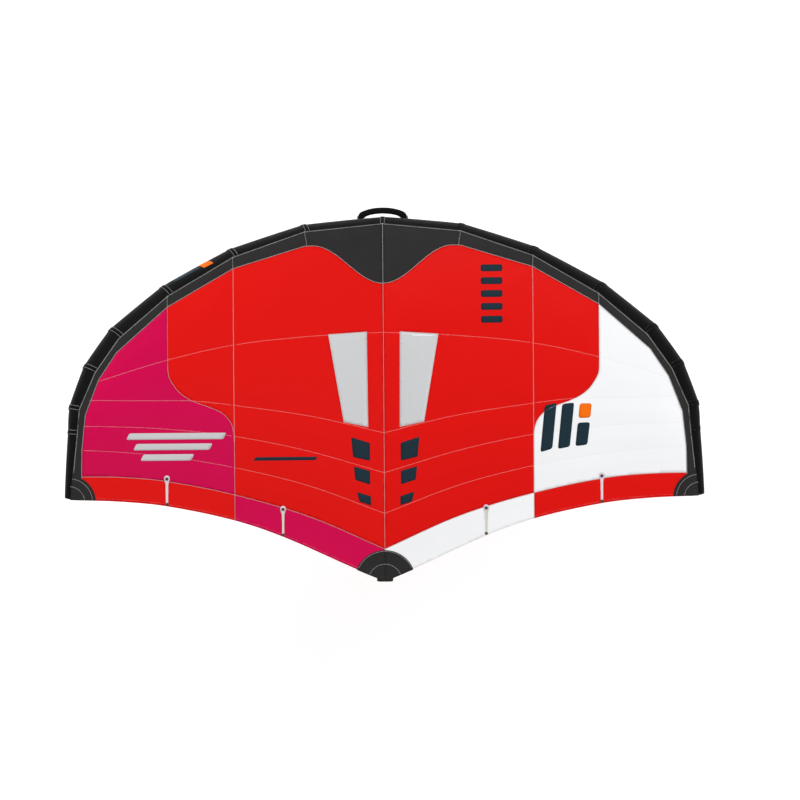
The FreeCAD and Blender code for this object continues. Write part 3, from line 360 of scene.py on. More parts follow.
FINISH = {
    "red_cloth": sailcloth("red_ripstop", RED),
    "magenta_cloth": sailcloth("magenta_ripstop", MAGENTA),
    "white_cloth": sailcloth("white_ripstop", WHITE, 0.45, 0.95),
    "dark_cloth": tubecloth("charcoal_reinforcement", CHARCOAL, 0.002),
    "sleeve_cloth": tubecloth("black_sleeve_cloth", BLACK),
    "strut_cloth": tubecloth("black_strut_cloth", shade(BLACK, 1.3)),
    "tape_cloth": tubecloth("black_joint_tape", shade(BLACK, 0.8), 0.0024, 0.6, 0.0003),
    "pocket_cloth": tubecloth("pale_pocket_webbing", (0.66, 0.55, 0.61), 0.002, 0.6, 0.0003),
    "webbing": tubecloth("black_webbing", shade(BLACK, 1.6), 0.0028, 0.65, 0.0005),
    "zip_tape": tubecloth("black_zip_tape", shade(BLACK, 1.2), 0.0016, 0.65, 0.0003),
    "batten_rod": moulded("glass_fibre_rod", (0.55, 0.57, 0.45), 0.3),
    "handle_core": moulded("black_handle_core", (0.012, 0.012, 0.013), 0.32),
    "valve_plastic": moulded("grey_valve_plastic", (0.09, 0.095, 0.1), 0.4),
    "cap_plastic": moulded("black_cap_plastic", (0.014, 0.014, 0.015), 0.38),
    "stem_plastic": moulded("orange_stem_plastic", (0.7, 0.16, 0.02), 0.4),
    "clip_plastic": moulded("dark_clip_plastic", (0.02, 0.02, 0.022), 0.36),
    "hose_rubber": moulded("black_hose_rubber", (0.010, 0.010, 0.011), 0.55, 0.002),
    "spring_steel": metal("spring_steel", (0.6, 0.6, 0.6)),
    "ring_steel": metal("polished_ring_steel", (0.66, 0.66, 0.67), 0.2),
    "slider_metal": metal("dark_slider_metal", (0.12, 0.12, 0.13), 0.35),
}


def film(name, colour, opacity, pitch):
    """Clear laminated film with a scrim of fine threads inside."""
    made = Finish(name, colour, 0.16, Alpha=opacity, Coat_Weight=0.3)
    made.tint(made.threads(pitch, "XY", 30), shade(colour, 0.8), 0, 0.5)
    made.gloss(made.noise(0.06, 3), 0.12, 0.26)
    made.relief(made.noise(0.05, 2), 0.0015, 0.3)
    return made.material


def foam(name, colour):
    """Closed-cell grip foam with fine pores."""
    made = Finish(name, colour, 0.8, Sheen_Weight=0.15)
    cells = made.node("TexVoronoi")
    cells.inputs["Scale"].default_value = 900
    made.link(made.place, cells.inputs["Vector"])
    made.tint(cells.outputs["Distance"], shade(colour, 0.6), 0, 0.7)
    made.gloss(made.noise(0.01, 3), 0.7, 0.9)
    made.relief(cells.outputs["Distance"], 0.0004, 0.6)
    return made.material


def thread(name, colour):
    made = Finish(name, colour, 0.6, Sheen_Weight=0.2)
    made.tint(made.noise(0.001, 1), shade(colour, 0.75), 0, 0.7)
    made.relief(made.noise(0.0006, 1), 0.0001, 0.5)
    return made.material


FINISH["window_film"] = film("window_film", (0.60, 0.61, 0.62), 0.9, 0.012)
FINISH["bladder_film"] = film("bladder_film", (0.75, 0.77, 0.8), 0.8, 0.03)
FINISH["grip_foam"] = foam("black_grip_foam", (0.016, 0.016, 0.017))
SLATE_INK = sailcloth("slate_insignia_cloth", SLATE, 0.5, 1.6)
ORANGE_INK = sailcloth("orange_insignia_cloth", ORANGE, 0.5)
SILVER_INK = sailcloth("silver_insignia_cloth", SILVER, 0.5, 0.9)
PALE_THREAD = thread("pale_thread", (0.78, 0.66, 0.64))
GREY_THREAD = thread("grey_thread", (0.62, 0.63, 0.62))
DARK_PLASTIC = moulded("dark_batten_end", (0.02, 0.02, 0.02), 0.45)

# ---------------------------------------------------------------------------------------------
# Mesh helpers
# ---------------------------------------------------------------------------------------------


def mesh_object(name, verts, faces, material, smooth=True):
    mesh = bpy.data.meshes.new(name)
    mesh.from_pydata([tuple(v) for v in verts], [], faces)
    mesh.update()
    mesh.polygons.foreach_set("use_smooth", [smooth] * len(mesh.polygons))
    mesh.materials.append(material)
    obj = bpy.data.objects.new(name, mesh)
    bpy.context.scene.collection.objects.link(obj)
    return obj


def thicken(obj, wall, offset):
    """Gives a sheet its wall in metres: offset 1 is outwards along its normals, -1 inwards."""
    solid = obj.modifiers.new("wall", "SOLIDIFY")
    solid.thickness = wall
    solid.offset = offset
    return obj


def area_of(obj):
    return sum(face.area for face in obj.data.polygons)


def cut_area(node, wall):
    """The flat area of a CAD sheet in square metres: the volume of its solids over their wall."""
    mesh = NODES[node].data
    mesh.calc_loop_triangles()
    points = [vertex.co for vertex in mesh.vertices]
    corners = [[points[n] for n in triangle.vertices] for triangle in mesh.loop_triangles]
    return abs(sum(a.dot(b.cross(c)) for a, b, c in corners)) / 6 / (wall * MM)


def cloth_piece(obj, nodes=(), body="wing", wall=None):
    """Attaches a stretched piece of cloth to what it rides on and hides the CAD nodes it stands for. It works
    out its flat area, that of its CAD node where wall gives the node's thickness and otherwise its own, but
    does not keep it."""
    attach(obj, body)
    if nodes:
        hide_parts(*nodes)
    area = cut_area(nodes[0], wall) if wall else area_of(obj)
    return obj


def padded_piece(obj, node, body):
    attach(obj, body)
    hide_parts(node)


def plain_piece(obj, body="wing"):
    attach(obj, body)
    return obj


def resampled(points, step):
    """Points spaced about a step apart along straight runs, corners kept."""
    made = [Vector(points[0][:2])]
    for a, b in zip(points, points[1:]):
        a, b = Vector(a[:2]), Vector(b[:2])
        count = max(1, round((b - a).length / step))
        made += [a.lerp(b, n / count) for n in range(1, count + 1)]
    return made


def smooth(points, step=12):
    """A smooth plan line through points, as evenly spaced points."""
    pts = [Vector((p[0], p[1], 0)) for p in points]
    last = len(pts) - 1

    def direction(k):
        before, after = pts[max(k - 1, 0)], pts[min(k + 1, last)]
        return (after - before) / ((after - pts[k]).length + (pts[k] - before).length)

    line = [pts[0]]
    for k in range(last):
        a, b = pts[k], pts[k + 1]
        third = (b - a).length / 3
        count = max(2, round((b - a).length / step) + 1)
        handles = a + direction(k) * third, b - direction(k + 1) * third
        line += geometry.interpolate_bezier(a, *handles, b, count)[1:]
    return [Vector(p[:2]) for p in line]


def inside(point, loop):
    """Whether a plan point lies inside a closed loop."""
    x, y = point
    odd = False
    for k in range(len(loop)):
        a, b = loop[k - 1], loop[k]
        if (a[1] > y) != (b[1] > y) and x < (b[0] - a[0]) * (y - a[1]) / (b[1] - a[1]) + a[0]:
            odd = not odd
    return odd


def tree_of(points):
    tree = kdtree.KDTree(len(points))
    for n, p in enumerate(points):
        tree.insert((p[0], p[1], 0), n)
    tree.balance()
    return tree


# ---------------------------------------------------------------------------------------------
# Plan lines of one half of the canopy
# ---------------------------------------------------------------------------------------------


def section_frame(k, side=1):
    """Joint k's section of the tube: its middle, the way up in it, and the way across it."""
    before = AXIS[k] - AXIS[k - 1] if k else Vector((AXIS[1].x, AXIS[0].y - AXIS[1].y, -AXIS[1].z))
    after = AXIS[k + 1] - AXIS[k] if k < LAST else before
    along = (before.normalized() + after.normalized()).normalized()
    along = Vector((side * along.x, along.y, along.z))
    up = Vector((0, 0, 1))
    up = (up - along * along.z).normalized()
    middle = Vector((side * AXIS[k].x, AXIS[k].y, AXIS[k].z))
    return middle, up, along.cross(up), along


def seam_point(k):
    """Where the canopy's front seam crosses joint k's section, in plan."""
    across = section_frame(k)[2]
    across = Vector(across[:2]).normalized()
    return Vector(AXIS[k][:2]) + across * TUBE[k][3]


BELL_HALF = 305
BELL_FOOT = 128.7
BELL_DEPTH = 164.5
MAIN_SEAM = 652
OUTER_SEAM = 938
TIP_CORNER = Vector((HALF_SPAN, EDGE[-1][1]))
STEP = 12


def bell(x):
    """Rear edge of the dark nose panel, near the centre."""
    return BELL_FOOT + BELL_DEPTH * (1 + math.cos(math.pi * x / BELL_HALF)) / 2


FRONT = resampled([seam_point(k) for k in range(LAST + 1)], STEP)
FRONT[-1] = TIP_CORNER
BELL = [Vector((x, bell(x))) for x in range(0, BELL_HALF, STEP)]
DARK_TO_MAIN = resampled([(BELL_HALF, BELL_FOOT), (340, 130), (MAIN_SEAM, 226), (OUTER_SEAM, 392)], STEP)
TIP_RUN = ((OUTER_SEAM, 392), (1158, 588), (1236, 706), (1294, 858), (1310, 1010), (1312, 1126))
DARK_TO_TIP = resampled(TIP_RUN, STEP)
DARK_CORNER = smooth([(1312, 1126), (1316, curve(EDGE, 1316))])
BAND_INNER = [Vector((x, curve(BAND, x))) for x in [MAIN_SEAM * n / 54 for n in range(55)]]
BAND_OUTER = [Vector((x, curve(BAND, x))) for x in [MAIN_SEAM + 660 * n / 55 for n in range(55)]]
BAND_OUTER.append(DARK_CORNER[0])
EDGE_INNER = [Vector((x, curve(EDGE, x))) for x in [MAIN_SEAM * n / 54 for n in range(55)]]
EDGE_OUTER = [Vector((x, curve(EDGE, x))) for x in [MAIN_SEAM + 664 * n / 55 for n in range(56)]]
EDGE_TIP = resampled([EDGE_OUTER[-1], TIP_CORNER], STEP)
COLOUR_LINE = smooth([
    (OUTER_SEAM, 640), (935, 686), (922, 716), (894, 756), (857, 786), (813, 808), (757, 828), (706, 852),
    (671, 888), (655, 932), (MAIN_SEAM, 980),
])
OUTER_CUT = resampled([DARK_TO_MAIN[-1], COLOUR_LINE[0]], STEP)
MAIN_CUT = resampled([COLOUR_LINE[-1], BAND_INNER[-1]], STEP)
BAND_CUT = resampled([BAND_INNER[-1], EDGE_INNER[-1]], STEP)
CENTRE_CUT = resampled([BELL[0], BAND_INNER[0]], STEP)
CENTRE_BAND = resampled([BAND_INNER[0], EDGE_INNER[0]], STEP)
CENTRE_DARK = resampled([FRONT[0], BELL[0]], STEP)
WINDOW = resampled([(240, 514), (72, 503), (69, 918), (175, 896), (240, 514)], STEP)[:-1]


def loop_of(*lines):
    """One closed loop from lines; a line given in a tuple runs backwards."""
    loop = []
    for line in lines:
        run = line[0][::-1] if isinstance(line, tuple) else line
        loop += [p for p in run if not loop or (p - loop[-1]).length > 0.5]
    while (loop[0] - loop[-1]).length < 0.5:
        loop.pop()
    return loop


REAR_LINE = BELL + DARK_TO_MAIN + DARK_TO_TIP[1:] + DARK_CORNER[1:]
LOOPS = {
    "le_panel": loop_of(FRONT, (EDGE_TIP,), (REAR_LINE,), (CENTRE_DARK,)),
    "centre_panel": loop_of(BELL + DARK_TO_MAIN, OUTER_CUT, COLOUR_LINE, MAIN_CUT, (BAND_INNER,),
                            (CENTRE_CUT,)),
    "tip_panel": loop_of(DARK_TO_TIP, (BAND_OUTER,), (MAIN_CUT,), (COLOUR_LINE,), (OUTER_CUT,)),
    "te_band_inner": loop_of(BAND_INNER, BAND_CUT, (EDGE_INNER,), (CENTRE_BAND,)),
    "te_band_outer": loop_of(BAND_OUTER, DARK_CORNER, (EDGE_OUTER,), (BAND_CUT,)),
    "window": WINDOW,
}

SEAMS = {
    "front": FRONT,
    "rear": REAR_LINE,
    "first": smooth([(0, 506), (325, 522), (650, 557), (936, 620), (1238, 711)]),
    "second": smooth([(0, 944), (309, 871), (654, 819), (831, 799), (980, 797), (1280, 794)]),
    "third": smooth([(0, 1118), (331, 1021), (654, 954), (967, 919), (1189, 908), (1301, 906)]),
    "fourth": smooth([(0, 1296), (331, 1172), (654, 1090), (943, 1040), (1154, 1019), (1308, 1010)]),
    "band": BAND_INNER + BAND_OUTER[1:],
    "main": resampled([(MAIN_SEAM, 226), EDGE_INNER[-1]], STEP),
    "outer": OUTER_CUT,
    "colour": COLOUR_LINE,
    "nose": resampled([seam_point(1), (330, 128.5)], STEP),
    "shoulder": resampled([seam_point(2), (MAIN_SEAM, 226)], STEP),
    "outer_shoulder": resampled([seam_point(3), (OUTER_SEAM, 392)], STEP),
    "centre": CENTRE_CUT + CENTRE_BAND[1:],
    "centre_dark": CENTRE_DARK,
    "window": WINDOW + WINDOW[:1],
}
SEAM_TREE = tree_of([p for line in SEAMS.values() for p in line])
BILLOW = 5.0
BILLOW_REACH = 75.0
PUCKER = 1.1
PUCKER_REACH = 7.0


def cloth_height(x, y):
    """The canopy's underside with its cloth bellied between the seams and drawn in at each."""
    x = abs(x)
    away = SEAM_TREE.find((x, y, 0))[2]
    belly = BILLOW * (1 - math.exp(-((away / BILLOW_REACH) ** 2)))
    crease = PUCKER * math.exp(-((away / PUCKER_REACH) ** 2))
    return canopy_height(x, y) + belly - crease


def plan_mesh(loop, side, lift, holes=(), step=STEP, guides=()):
    """Vertices and faces of the canopy within a plan loop, lifted off its underside.

    Guides are lines of extra points.
    """
    rings = [loop, *holes]
    coords = []
    edges = []
    for ring in rings:
        first = len(coords)
        coords += ring
        edges += [(first + n, first + (n + 1) % len(ring)) for n in range(len(ring))]
    near = tree_of(coords)
    low = [min(p[n] for p in loop) for n in (0, 1)]
    high = [max(p[n] for p in loop) for n in (0, 1)]

    def add(points, clear):
        for p in points:
            if near.find((p[0], p[1], 0))[2] < clear or not inside(p, loop):
                continue
            if any(inside(p, hole) for hole in holes):
                continue
            coords.append(Vector(p))

    add(guides, 0.35 * step)
    near_guides = tree_of(coords)
    rows = int((high[1] - low[1]) / (step * 0.866)) + 2
    columns = int((high[0] - low[0]) / step) + 2
    grid = []
    for row in range(rows):
        for column in range(columns):
            p = (low[0] + (column + row % 2 / 2) * step, low[1] + row * step * 0.866)
            if near_guides.find((p[0], p[1], 0))[2] > 0.6 * step:
                grid.append(p)
    add(grid, 0.55 * step)
    verts, _, faces = geometry.delaunay_2d_cdt(coords, edges, [], 1, 1e-3)[:3]
    kept = []
    for face in faces:
        middle = sum((verts[n] for n in face), Vector((0, 0))) / len(face)
        if inside(middle, loop) and not any(inside(middle, hole) for hole in holes):
            a, b, c = (verts[n] for n in face[:3])
            turn = (b - a).cross(c - a)
            kept.append(face if turn * side > 0 else face[::-1])
    points = [at(side * v.x, v.y, cloth_height(v.x, v.y) + lift) for v in verts]
    return points, kept


def guide_points():
    """Points on and beside the seams, so that the cloth can be drawn in at them."""
    made = []
    for key in ("first", "second", "third", "fourth", "main", "nose", "shoulder", "outer_shoulder"):
        line = SEAMS[key]
        for a, b in zip(line, line[1:]):
            if (b - a).length < 1:
                continue
            across = Vector((a.y - b.y, b.x - a.x)).normalized() * 8
            made += [a, a + across, a - across]
    return made


TIP_COLOUR = {"left": "magenta_cloth", "right": "white_cloth"}

for side_name, side in SIDES.items():
    for panel, loop in LOOPS.items():
        if panel == "le_panel":
            slot = "dark_cloth"
        elif panel == "window":
            slot = "window_film"
        elif panel in ("centre_panel", "te_band_outer"):
            slot = "red_cloth"
        else:
            slot = TIP_COLOUR[side_name]
        name = panel.replace("te_band", f"te_band_{side_name}") if "band" in panel else f"{panel}_{side_name}"
        holes = (WINDOW,) if panel == "centre_panel" else ()
        guides = () if panel == "window" else guide_points()
        verts, faces = plan_mesh(loop, side, 0, holes, guides=guides)
        cloth = thicken(mesh_object(f"{name}_skin", verts, faces, FINISH[slot]), CANOPY_WALL * MM, 1)
        cloth_piece(cloth, (name,), wall=CANOPY_WALL)

# ---------------------------------------------------------------------------------------------
# Pieces laid on the canopy: patches, insignia, batten pockets
# ---------------------------------------------------------------------------------------------


def arc(x, y, radius, start, end, step=STEP):
    """Plan points on an arc, with its angles in degrees."""
    count = max(3, round(math.radians(abs(end - start)) * radius / step))
    angles = [math.radians(start + (end - start) * n / count) for n in range(count + 1)]
    return [Vector((x + radius * math.cos(a), y + radius * math.sin(a))) for a in angles]


def rounded(corners, radius, step=4):
    """A closed plan loop whose corners are rounded."""
    loop = []
    count = len(corners)
    for k in range(count):
        a, b, c = (Vector(corners[(k + n) % count]) for n in (-1, 0, 1))
        into = (a - b).normalized()
        out = (c - b).normalized()
        cut = min(radius, (a - b).length / 2.1, (c - b).length / 2.1)
        start, end = b + into * cut, b + out * cut
        loop += [start.lerp(b, f).lerp(b.lerp(end, f), f) for f in (0, 0.25, 0.5, 0.75, 1)]
    return resampled(loop + loop[:1], step)[:-1]


INLAY_LIFT = 0.25
INLAY_WALL = 0.35


def inlay(name, loop, side, material):
    """A piece of cloth sewn on the canopy's top, within a plan loop."""
    verts, faces = plan_mesh(loop, side, CANOPY_WALL + INLAY_LIFT)
    return thicken(mesh_object(name, verts, faces, material), INLAY_WALL * MM, 1)


PATCH_RADIUS = 134
TIP_PATCH_RADIUS = 114
TIP_PATCH_CENTRE = (1368, 1233)


def edge_patch():
    """The reinforcing half disc in the middle of the trailing edge, as one piece across the centre."""
    verts, faces = [], []
    for side in SIDES.values():
        rim = [p for p in arc(0, EDGE[0][1], PATCH_RADIUS, 270, 360, 8) if p.y < curve(EDGE, p.x) + 2]
        low_x = next(x for x in range(200) if math.hypot(x, curve(EDGE, x) - EDGE[0][1]) > PATCH_RADIUS)
        base = [Vector((x, curve(EDGE, x) + 3)) for x in range(low_x - 2, 0, -8)]
        base.append(Vector((0, EDGE[0][1] + 3)))
        up = resampled([base[-1], rim[0]], 8)[1:-1]
        points, more = plan_mesh(rim + base + up, side, CANOPY_WALL + 0.3, step=8)
        faces += [[n + len(verts) for n in face] for face in more]
        verts += points
    return mesh_object("te_centre_patch_skin", verts, faces, FINISH["dark_cloth"])


patch = thicken(edge_patch(), 1.0 * MM, 1)
cloth_piece(patch, ("te_centre_patch",), wall=PATCH_WALL)

for side_name, side in SIDES.items():
    x, y = TIP_PATCH_CENTRE
    rim = [p for p in arc(x, y, TIP_PATCH_RADIUS, 180, 270, 8)
           if p.y < curve(EDGE, min(p.x, HALF_SPAN)) - 1 and inside(p, LOOPS["le_panel"])
           or inside(p, LOOPS["te_band_outer"]) or inside(p, LOOPS["tip_panel"])]
    base = resampled([(HALF_SPAN - 0.5, rim[-1].y), (HALF_SPAN - 0.5, TIP_CORNER.y - 0.5),
                      (rim[0].x + 1, curve(EDGE, rim[0].x) - 0.5)], 8)
    front = [p for p in FRONT if p.y > rim[-1].y]
    loop = rim + [p + Vector((-0.5, 0)) for p in front] + base[-int((HALF_SPAN - rim[0].x) / 8):]
    verts, faces = plan_mesh(loop, side, CANOPY_WALL + 0.3, step=8)
    patch = mesh_object(f"tip_patch_{side_name}_skin", verts, faces, FINISH["dark_cloth"])
    patch = thicken(patch, PATCH_WALL * MM, 1)
    cloth_piece(patch, (f"tip_patch_{side_name}",), wall=PATCH_WALL)

# slate panels beside the strut, both sides alike
MARKS = (
    ((144, 962), (62, 988), (62, 1066), (136, 1049)),
    ((133, 1090), (62, 1110), (62, 1170), (127, 1149)),
    ((120, 1201), (59, 1221), (59, 1261), (110, 1244)),
)
MARK_SHIFT = {"left": 0, "right": 10}
for side_name, side in SIDES.items():
    for n, corners in enumerate(MARKS, start=1):
        corners = [(x + MARK_SHIFT[side_name], y) for x, y in corners]
        piece = inlay(f"slate_mark_{side_name}_{n}", rounded(corners, 5, 8), side, SLATE_INK)
        plain_piece(piece)


def slanted(x, y, length, height, lean):
    """A bar across the span from x, leaning like a parallelogram."""
    return ((x + lean, y), (x + length + lean, y), (x + length, y + height), (x, y + height))


# silver speed bars on the left tip panel
SPEED_BARS = (
    slanted(700, 938, 420, 28, -14),
    slanted(760, 984, 330, 28, -14),
    slanted(840, 1030, 220, 28, -14),
)
for n, corners in enumerate(SPEED_BARS, start=1):
    piece = inlay(f"speed_bar_{n}", rounded(corners, 9, 8), 1, SILVER_INK)
    plain_piece(piece)
piece = inlay("thin_bar", rounded(slanted(300, 1046, 270, 15, -10), 5, 8), 1, SLATE_INK)
plain_piece(piece)

# leaning bars on the right tip panel and upright ones by the nose
TIP_BARS = (
    (((700, 830), (752, 818), (732, 1018), (680, 1034)), SLATE_INK, "dark_cloth"),
    (((776, 824), (828, 818), (808, 1010), (756, 1020)), SLATE_INK, "dark_cloth"),
    (((852, 822), (904, 822), (898, 884), (846, 886)), ORANGE_INK, "red_cloth"),
    (((843, 906), (896, 904), (884, 1002), (832, 1008)), SLATE_INK, "dark_cloth"),
)
for n, (corners, ink, slot) in enumerate(TIP_BARS, start=1):
    plain_piece(inlay(f"tip_bar_{n}", rounded(corners, 12, 8), -1, ink))
NOSE_BARS = (
    ((426, 214), (520, 214), (520, 244), (426, 244)),
    ((426, 270), (520, 270), (520, 300), (426, 300)),
    ((426, 326), (520, 326), (520, 356), (426, 356)),
    ((426, 382), (520, 382), (520, 412), (426, 412)),
    ((426, 438), (520, 438), (520, 468), (426, 468)),
)
for n, corners in enumerate(NOSE_BARS, start=1):
    plain_piece(inlay(f"nose_bar_{n}", rounded(corners, 10, 8), -1, SLATE_INK))

# ---------------------------------------------------------------------------------------------
# Leading-edge sleeve segments and joint tapes
# ---------------------------------------------------------------------------------------------

AROUND = 96
ALONG = 26
SWELL = 1.2
GATHER = 0.8


def ring_point(k, side, angle, radius):
    middle, up, across, _ = section_frame(k, side)
    return middle + (up * math.cos(angle) + across * math.sin(angle)) * radius


def tube_point(k, side, angle, f, extra=0):
    """A point on segment k's skin at a share of its length, and the way out of the skin there."""
    a, b = ring_point(k, side, angle, RADII[k]), ring_point(k + 1, side, angle, RADII[k + 1])
    centre = section_frame(k, side)[0].lerp(section_frame(k + 1, side)[0], f)
    point = a.lerp(b, f)
    out = (point - centre).normalized()
    return point + out * extra, out


def tube_grid(name, rows, material, closed=True):
    """A mesh of rings of points, closed round each ring."""
    count = len(rows[0])
    verts = [p for row in rows for p in row]
    faces = []
    for r in range(len(rows) - 1):
        for n in range(count if closed else count - 1):
            m = (n + 1) % count
            faces.append((r * count + n, r * count + m, (r + 1) * count + m, (r + 1) * count + n))
    return mesh_object(name, verts, faces, material)


for side_name, side in SIDES.items():
    for k in range(LAST):
        rows = []
        for step in range(ALONG + 1):
            f = step / ALONG
            from_joint = min(f, 1 - f) * (AXIS[k + 1] - AXIS[k]).length
            swell = SWELL * math.sin(math.pi * f)
            pull = GATHER * math.exp(-from_joint / 22)
            row = []
            for n in range(AROUND):
                angle = 2 * math.pi * n / AROUND * side
                ripple = pull * math.sin(11 * angle + k) * math.sin(5 * angle + 2 * k)
                point = tube_point(k, side, angle, f, swell - 0.4 + ripple - 0.4 * pull)[0]
                row.append(at(*point))
            rows.append(row)
        if k == LAST - 1:
            middle, up, across, along = section_frame(LAST, side)
            for share, dome in ((0.96, 2), (0.85, 4.5), (0.6, 6.5), (0.3, 7.5), (0.05, 8)):
                row = []
                for n in range(AROUND):
                    angle = 2 * math.pi * n / AROUND * side
                    point = ring_point(LAST, side, angle, RADII[LAST] * share) + along * dome
                    row.append(at(*point))
                rows.append(row)
        name = f"le_sleeve_{side_name}_{k + 1}"
        sleeve = thicken(tube_grid(f"{name}_skin", rows, FINISH["sleeve_cloth"]), 1.0 * MM, -1)
        cloth_piece(sleeve, (name,), wall=SLEEVE_WALL)

TAPE_HALF = 11
TAPE_SECTION = ((-TAPE_HALF, 0.1), (-TAPE_HALF + 0.6, 0.9), (-4, 1.2), (4, 1.2), (TAPE_HALF - 0.6, 0.9),
                (TAPE_HALF, 0.1))
tapes = []
for side_name, side in SIDES.items():
    for k in range(1 if side < 0 else 0, LAST):
        middle, up, across, along = section_frame(k, side)
        rows = []
        for offset, lift in TAPE_SECTION:
            row = []
            for n in range(AROUND):
                angle = 2 * math.pi * n / AROUND * side
                out = up * math.cos(angle) + across * math.sin(angle)
                row.append(at(*(middle + out * (RADII[k] + lift) + along * offset)))
            rows.append(row)
        tapes.append(tube_grid(f"joint_tape_{side_name}_{k}", rows, FINISH["tape_cloth"]))
for n, tape in enumerate(tapes):
    k = int(tape.name.rsplit("_", 1)[1])
    thicken(tape, 0.7 * MM, -1)
    cloth_piece(tape, ("joint_tapes",) if n == 0 else ())


def tube_inlay(name, k, side, share, turn, lean, material):
    """A slanted patch sewn on segment k's skin, between two shares of its length and two angles."""
    rows = []
    steps = 16
    for n in range(steps + 1):
        across = n / steps
        angle = math.radians(turn[0] + (turn[1] - turn[0]) * across) * side
        row = []
        for m in range(steps + 1):
            f = share[0] + (share[1] - share[0]) * m / steps + lean * across
            swell = SWELL * math.sin(math.pi * f)
            row.append(at(*tube_point(k, side, angle, f, swell + 0.2)[0]))
        rows.append(row)
    made = tube_grid(name, rows, material, closed=False)
    return plain_piece(thicken(made, 0.4 * MM, 1))


tube_inlay("tube_strip_orange", 2, 1, (0.30, 0.44), (50, 112), 0.06, ORANGE_INK)
tube_inlay("tube_strip_slate", 2, 1, (0.47, 0.86), (56, 112), 0.06, SLATE_INK)

# ---------------------------------------------------------------------------------------------
# Strut sleeve, its root tape, the tapes that join it to the canopy, and its end cap
# ---------------------------------------------------------------------------------------------

STRUT_END = 1593


def strut_ring(y, extra=0):
    """The strut's skin at a distance back, as points from the nose."""
    z, radius = strut_axis(y), strut_radius(y) + extra
    ring = []
    for n in range(AROUND):
        angle = 2 * math.pi * n / AROUND
        ring.append(Vector((radius * math.sin(angle), y, z + radius * math.cos(angle))))
    return ring


def on_leading_edge(point, extra=0):
    """The same point, moved along the strut onto the back of the leading-edge tube and under the canopy."""
    drop = point.z - rise(point.x)
    reach = math.sqrt(max(RADII[0] ** 2 - drop**2, 0))
    back = AXIS[0].y + reach + extra
    return Vector((point.x, back, min(point.z, canopy_height(point.x, back) - 2.5)))


root = [on_leading_edge(p, 1) for p in strut_ring(185)]
rows = [[at(*p) for p in root]]
for y in (200, *range(225, 1540, 16), 1550, 1570, STRUT_END - 3, STRUT_END):
    rows.append([at(*p) for p in strut_ring(y, -1.5 if y == STRUT_END else 0)])
strut_skin = thicken(tube_grid("strut_sleeve_skin", rows, FINISH["strut_cloth"]), 1.0 * MM, -1)
cloth_piece(strut_skin, ("strut_sleeve",), wall=SLEEVE_WALL)

collar = []
for extra, out in ((2, 9), (1.2, 8.2), (5, 3), (9, 1.6), (16, 1.2), (24, 0.6)):
    ring = [on_leading_edge(p, extra) for p in strut_ring(185, out)]
    collar.append([at(*p) for p in ring])
root_tape = thicken(tube_grid("strut_root_tape", collar, FINISH["tape_cloth"]), 0.7 * MM, -1)
cloth_piece(root_tape)

TAPE_TURN = math.radians(34)
TAPE_REACH = 16
for side_name, side in SIDES.items():
    rows = []
    for y in range(186, 1566, 12):
        middle, radius = strut_axis(y), strut_radius(y)
        row = []
        for turn, out in ((TAPE_TURN, 0.3), (TAPE_TURN, 1.0), (TAPE_TURN * 0.82, 1.0)):
            reach = radius + out
            row.append(Vector((side * reach * math.sin(turn), y, middle + reach * math.cos(turn))))
        start = row[-1]
        x = abs(start.x) + TAPE_REACH
        end = Vector((side * x, y, cloth_height(x, y) - 0.9))
        bend = Vector((side * (abs(start.x) + 2), y, end.z - 3.5))
        row += [start.lerp(bend, f).lerp(bend.lerp(end, f), f) for f in (0.3, 0.55, 0.8, 1)]
        row.append(end + Vector((0, 0, 0.6)))
        rows.append([at(*p) for p in (row[::-1] if side > 0 else row)])
    flap = tube_grid(f"strut_canopy_tape_{side_name}", rows, FINISH["strut_cloth"], closed=False)
    cloth_piece(thicken(flap, 0.7 * MM, 0))

cap_rows = []
cap_axis = strut_axis(STRUT_END)
for y, radius in ((STRUT_END - 42, 35.6), (STRUT_END - 40, 36), (STRUT_END - 20, 36.1), (STRUT_END - 6, 36),
                  (STRUT_END - 1.5, 34.8), (STRUT_END + 1, 32), (STRUT_END + 2, 26), (STRUT_END + 2.2, 14),
                  (STRUT_END + 2.3, 2)):
    row = []
    for n in range(AROUND):
        angle = 2 * math.pi * n / AROUND
        row.append(at(radius * math.sin(angle), y, cap_axis + radius * math.cos(angle)))
    cap_rows.append(row)
end_cap = thicken(tube_grid("strut_end_cap_skin", cap_rows, FINISH["dark_cloth"]), 1.1 * MM, -1)
cloth_piece(end_cap, ("strut_end_cap",), wall=SLEEVE_WALL)

# ---------------------------------------------------------------------------------------------
# Batten pockets on the trailing-edge band
# ---------------------------------------------------------------------------------------------

BATTENS = {"inner": (443, 1259), "outer": (946, 1122)}
HEAD = 12.5


def eased(f):
    f = min(max(f, 0), 1)
    return f * f * (3 - 2 * f)


def pocket_shape(start, end, y):
    """Half the width of a batten pocket and the height of its back, at a distance back."""
    if y < start + HEAD:
        half = math.sqrt(max(HEAD**2 - (start + HEAD - y) ** 2, 0.2))
    else:
        half = HEAD + (6 - HEAD) * eased((y - start - HEAD) / 32)
    half += 3.6 * eased((y - end + 42) / 34)
    hump = 2.9 * eased((y - start - 1) / 6) * eased((end - y - 1) / 6)
    return half, hump


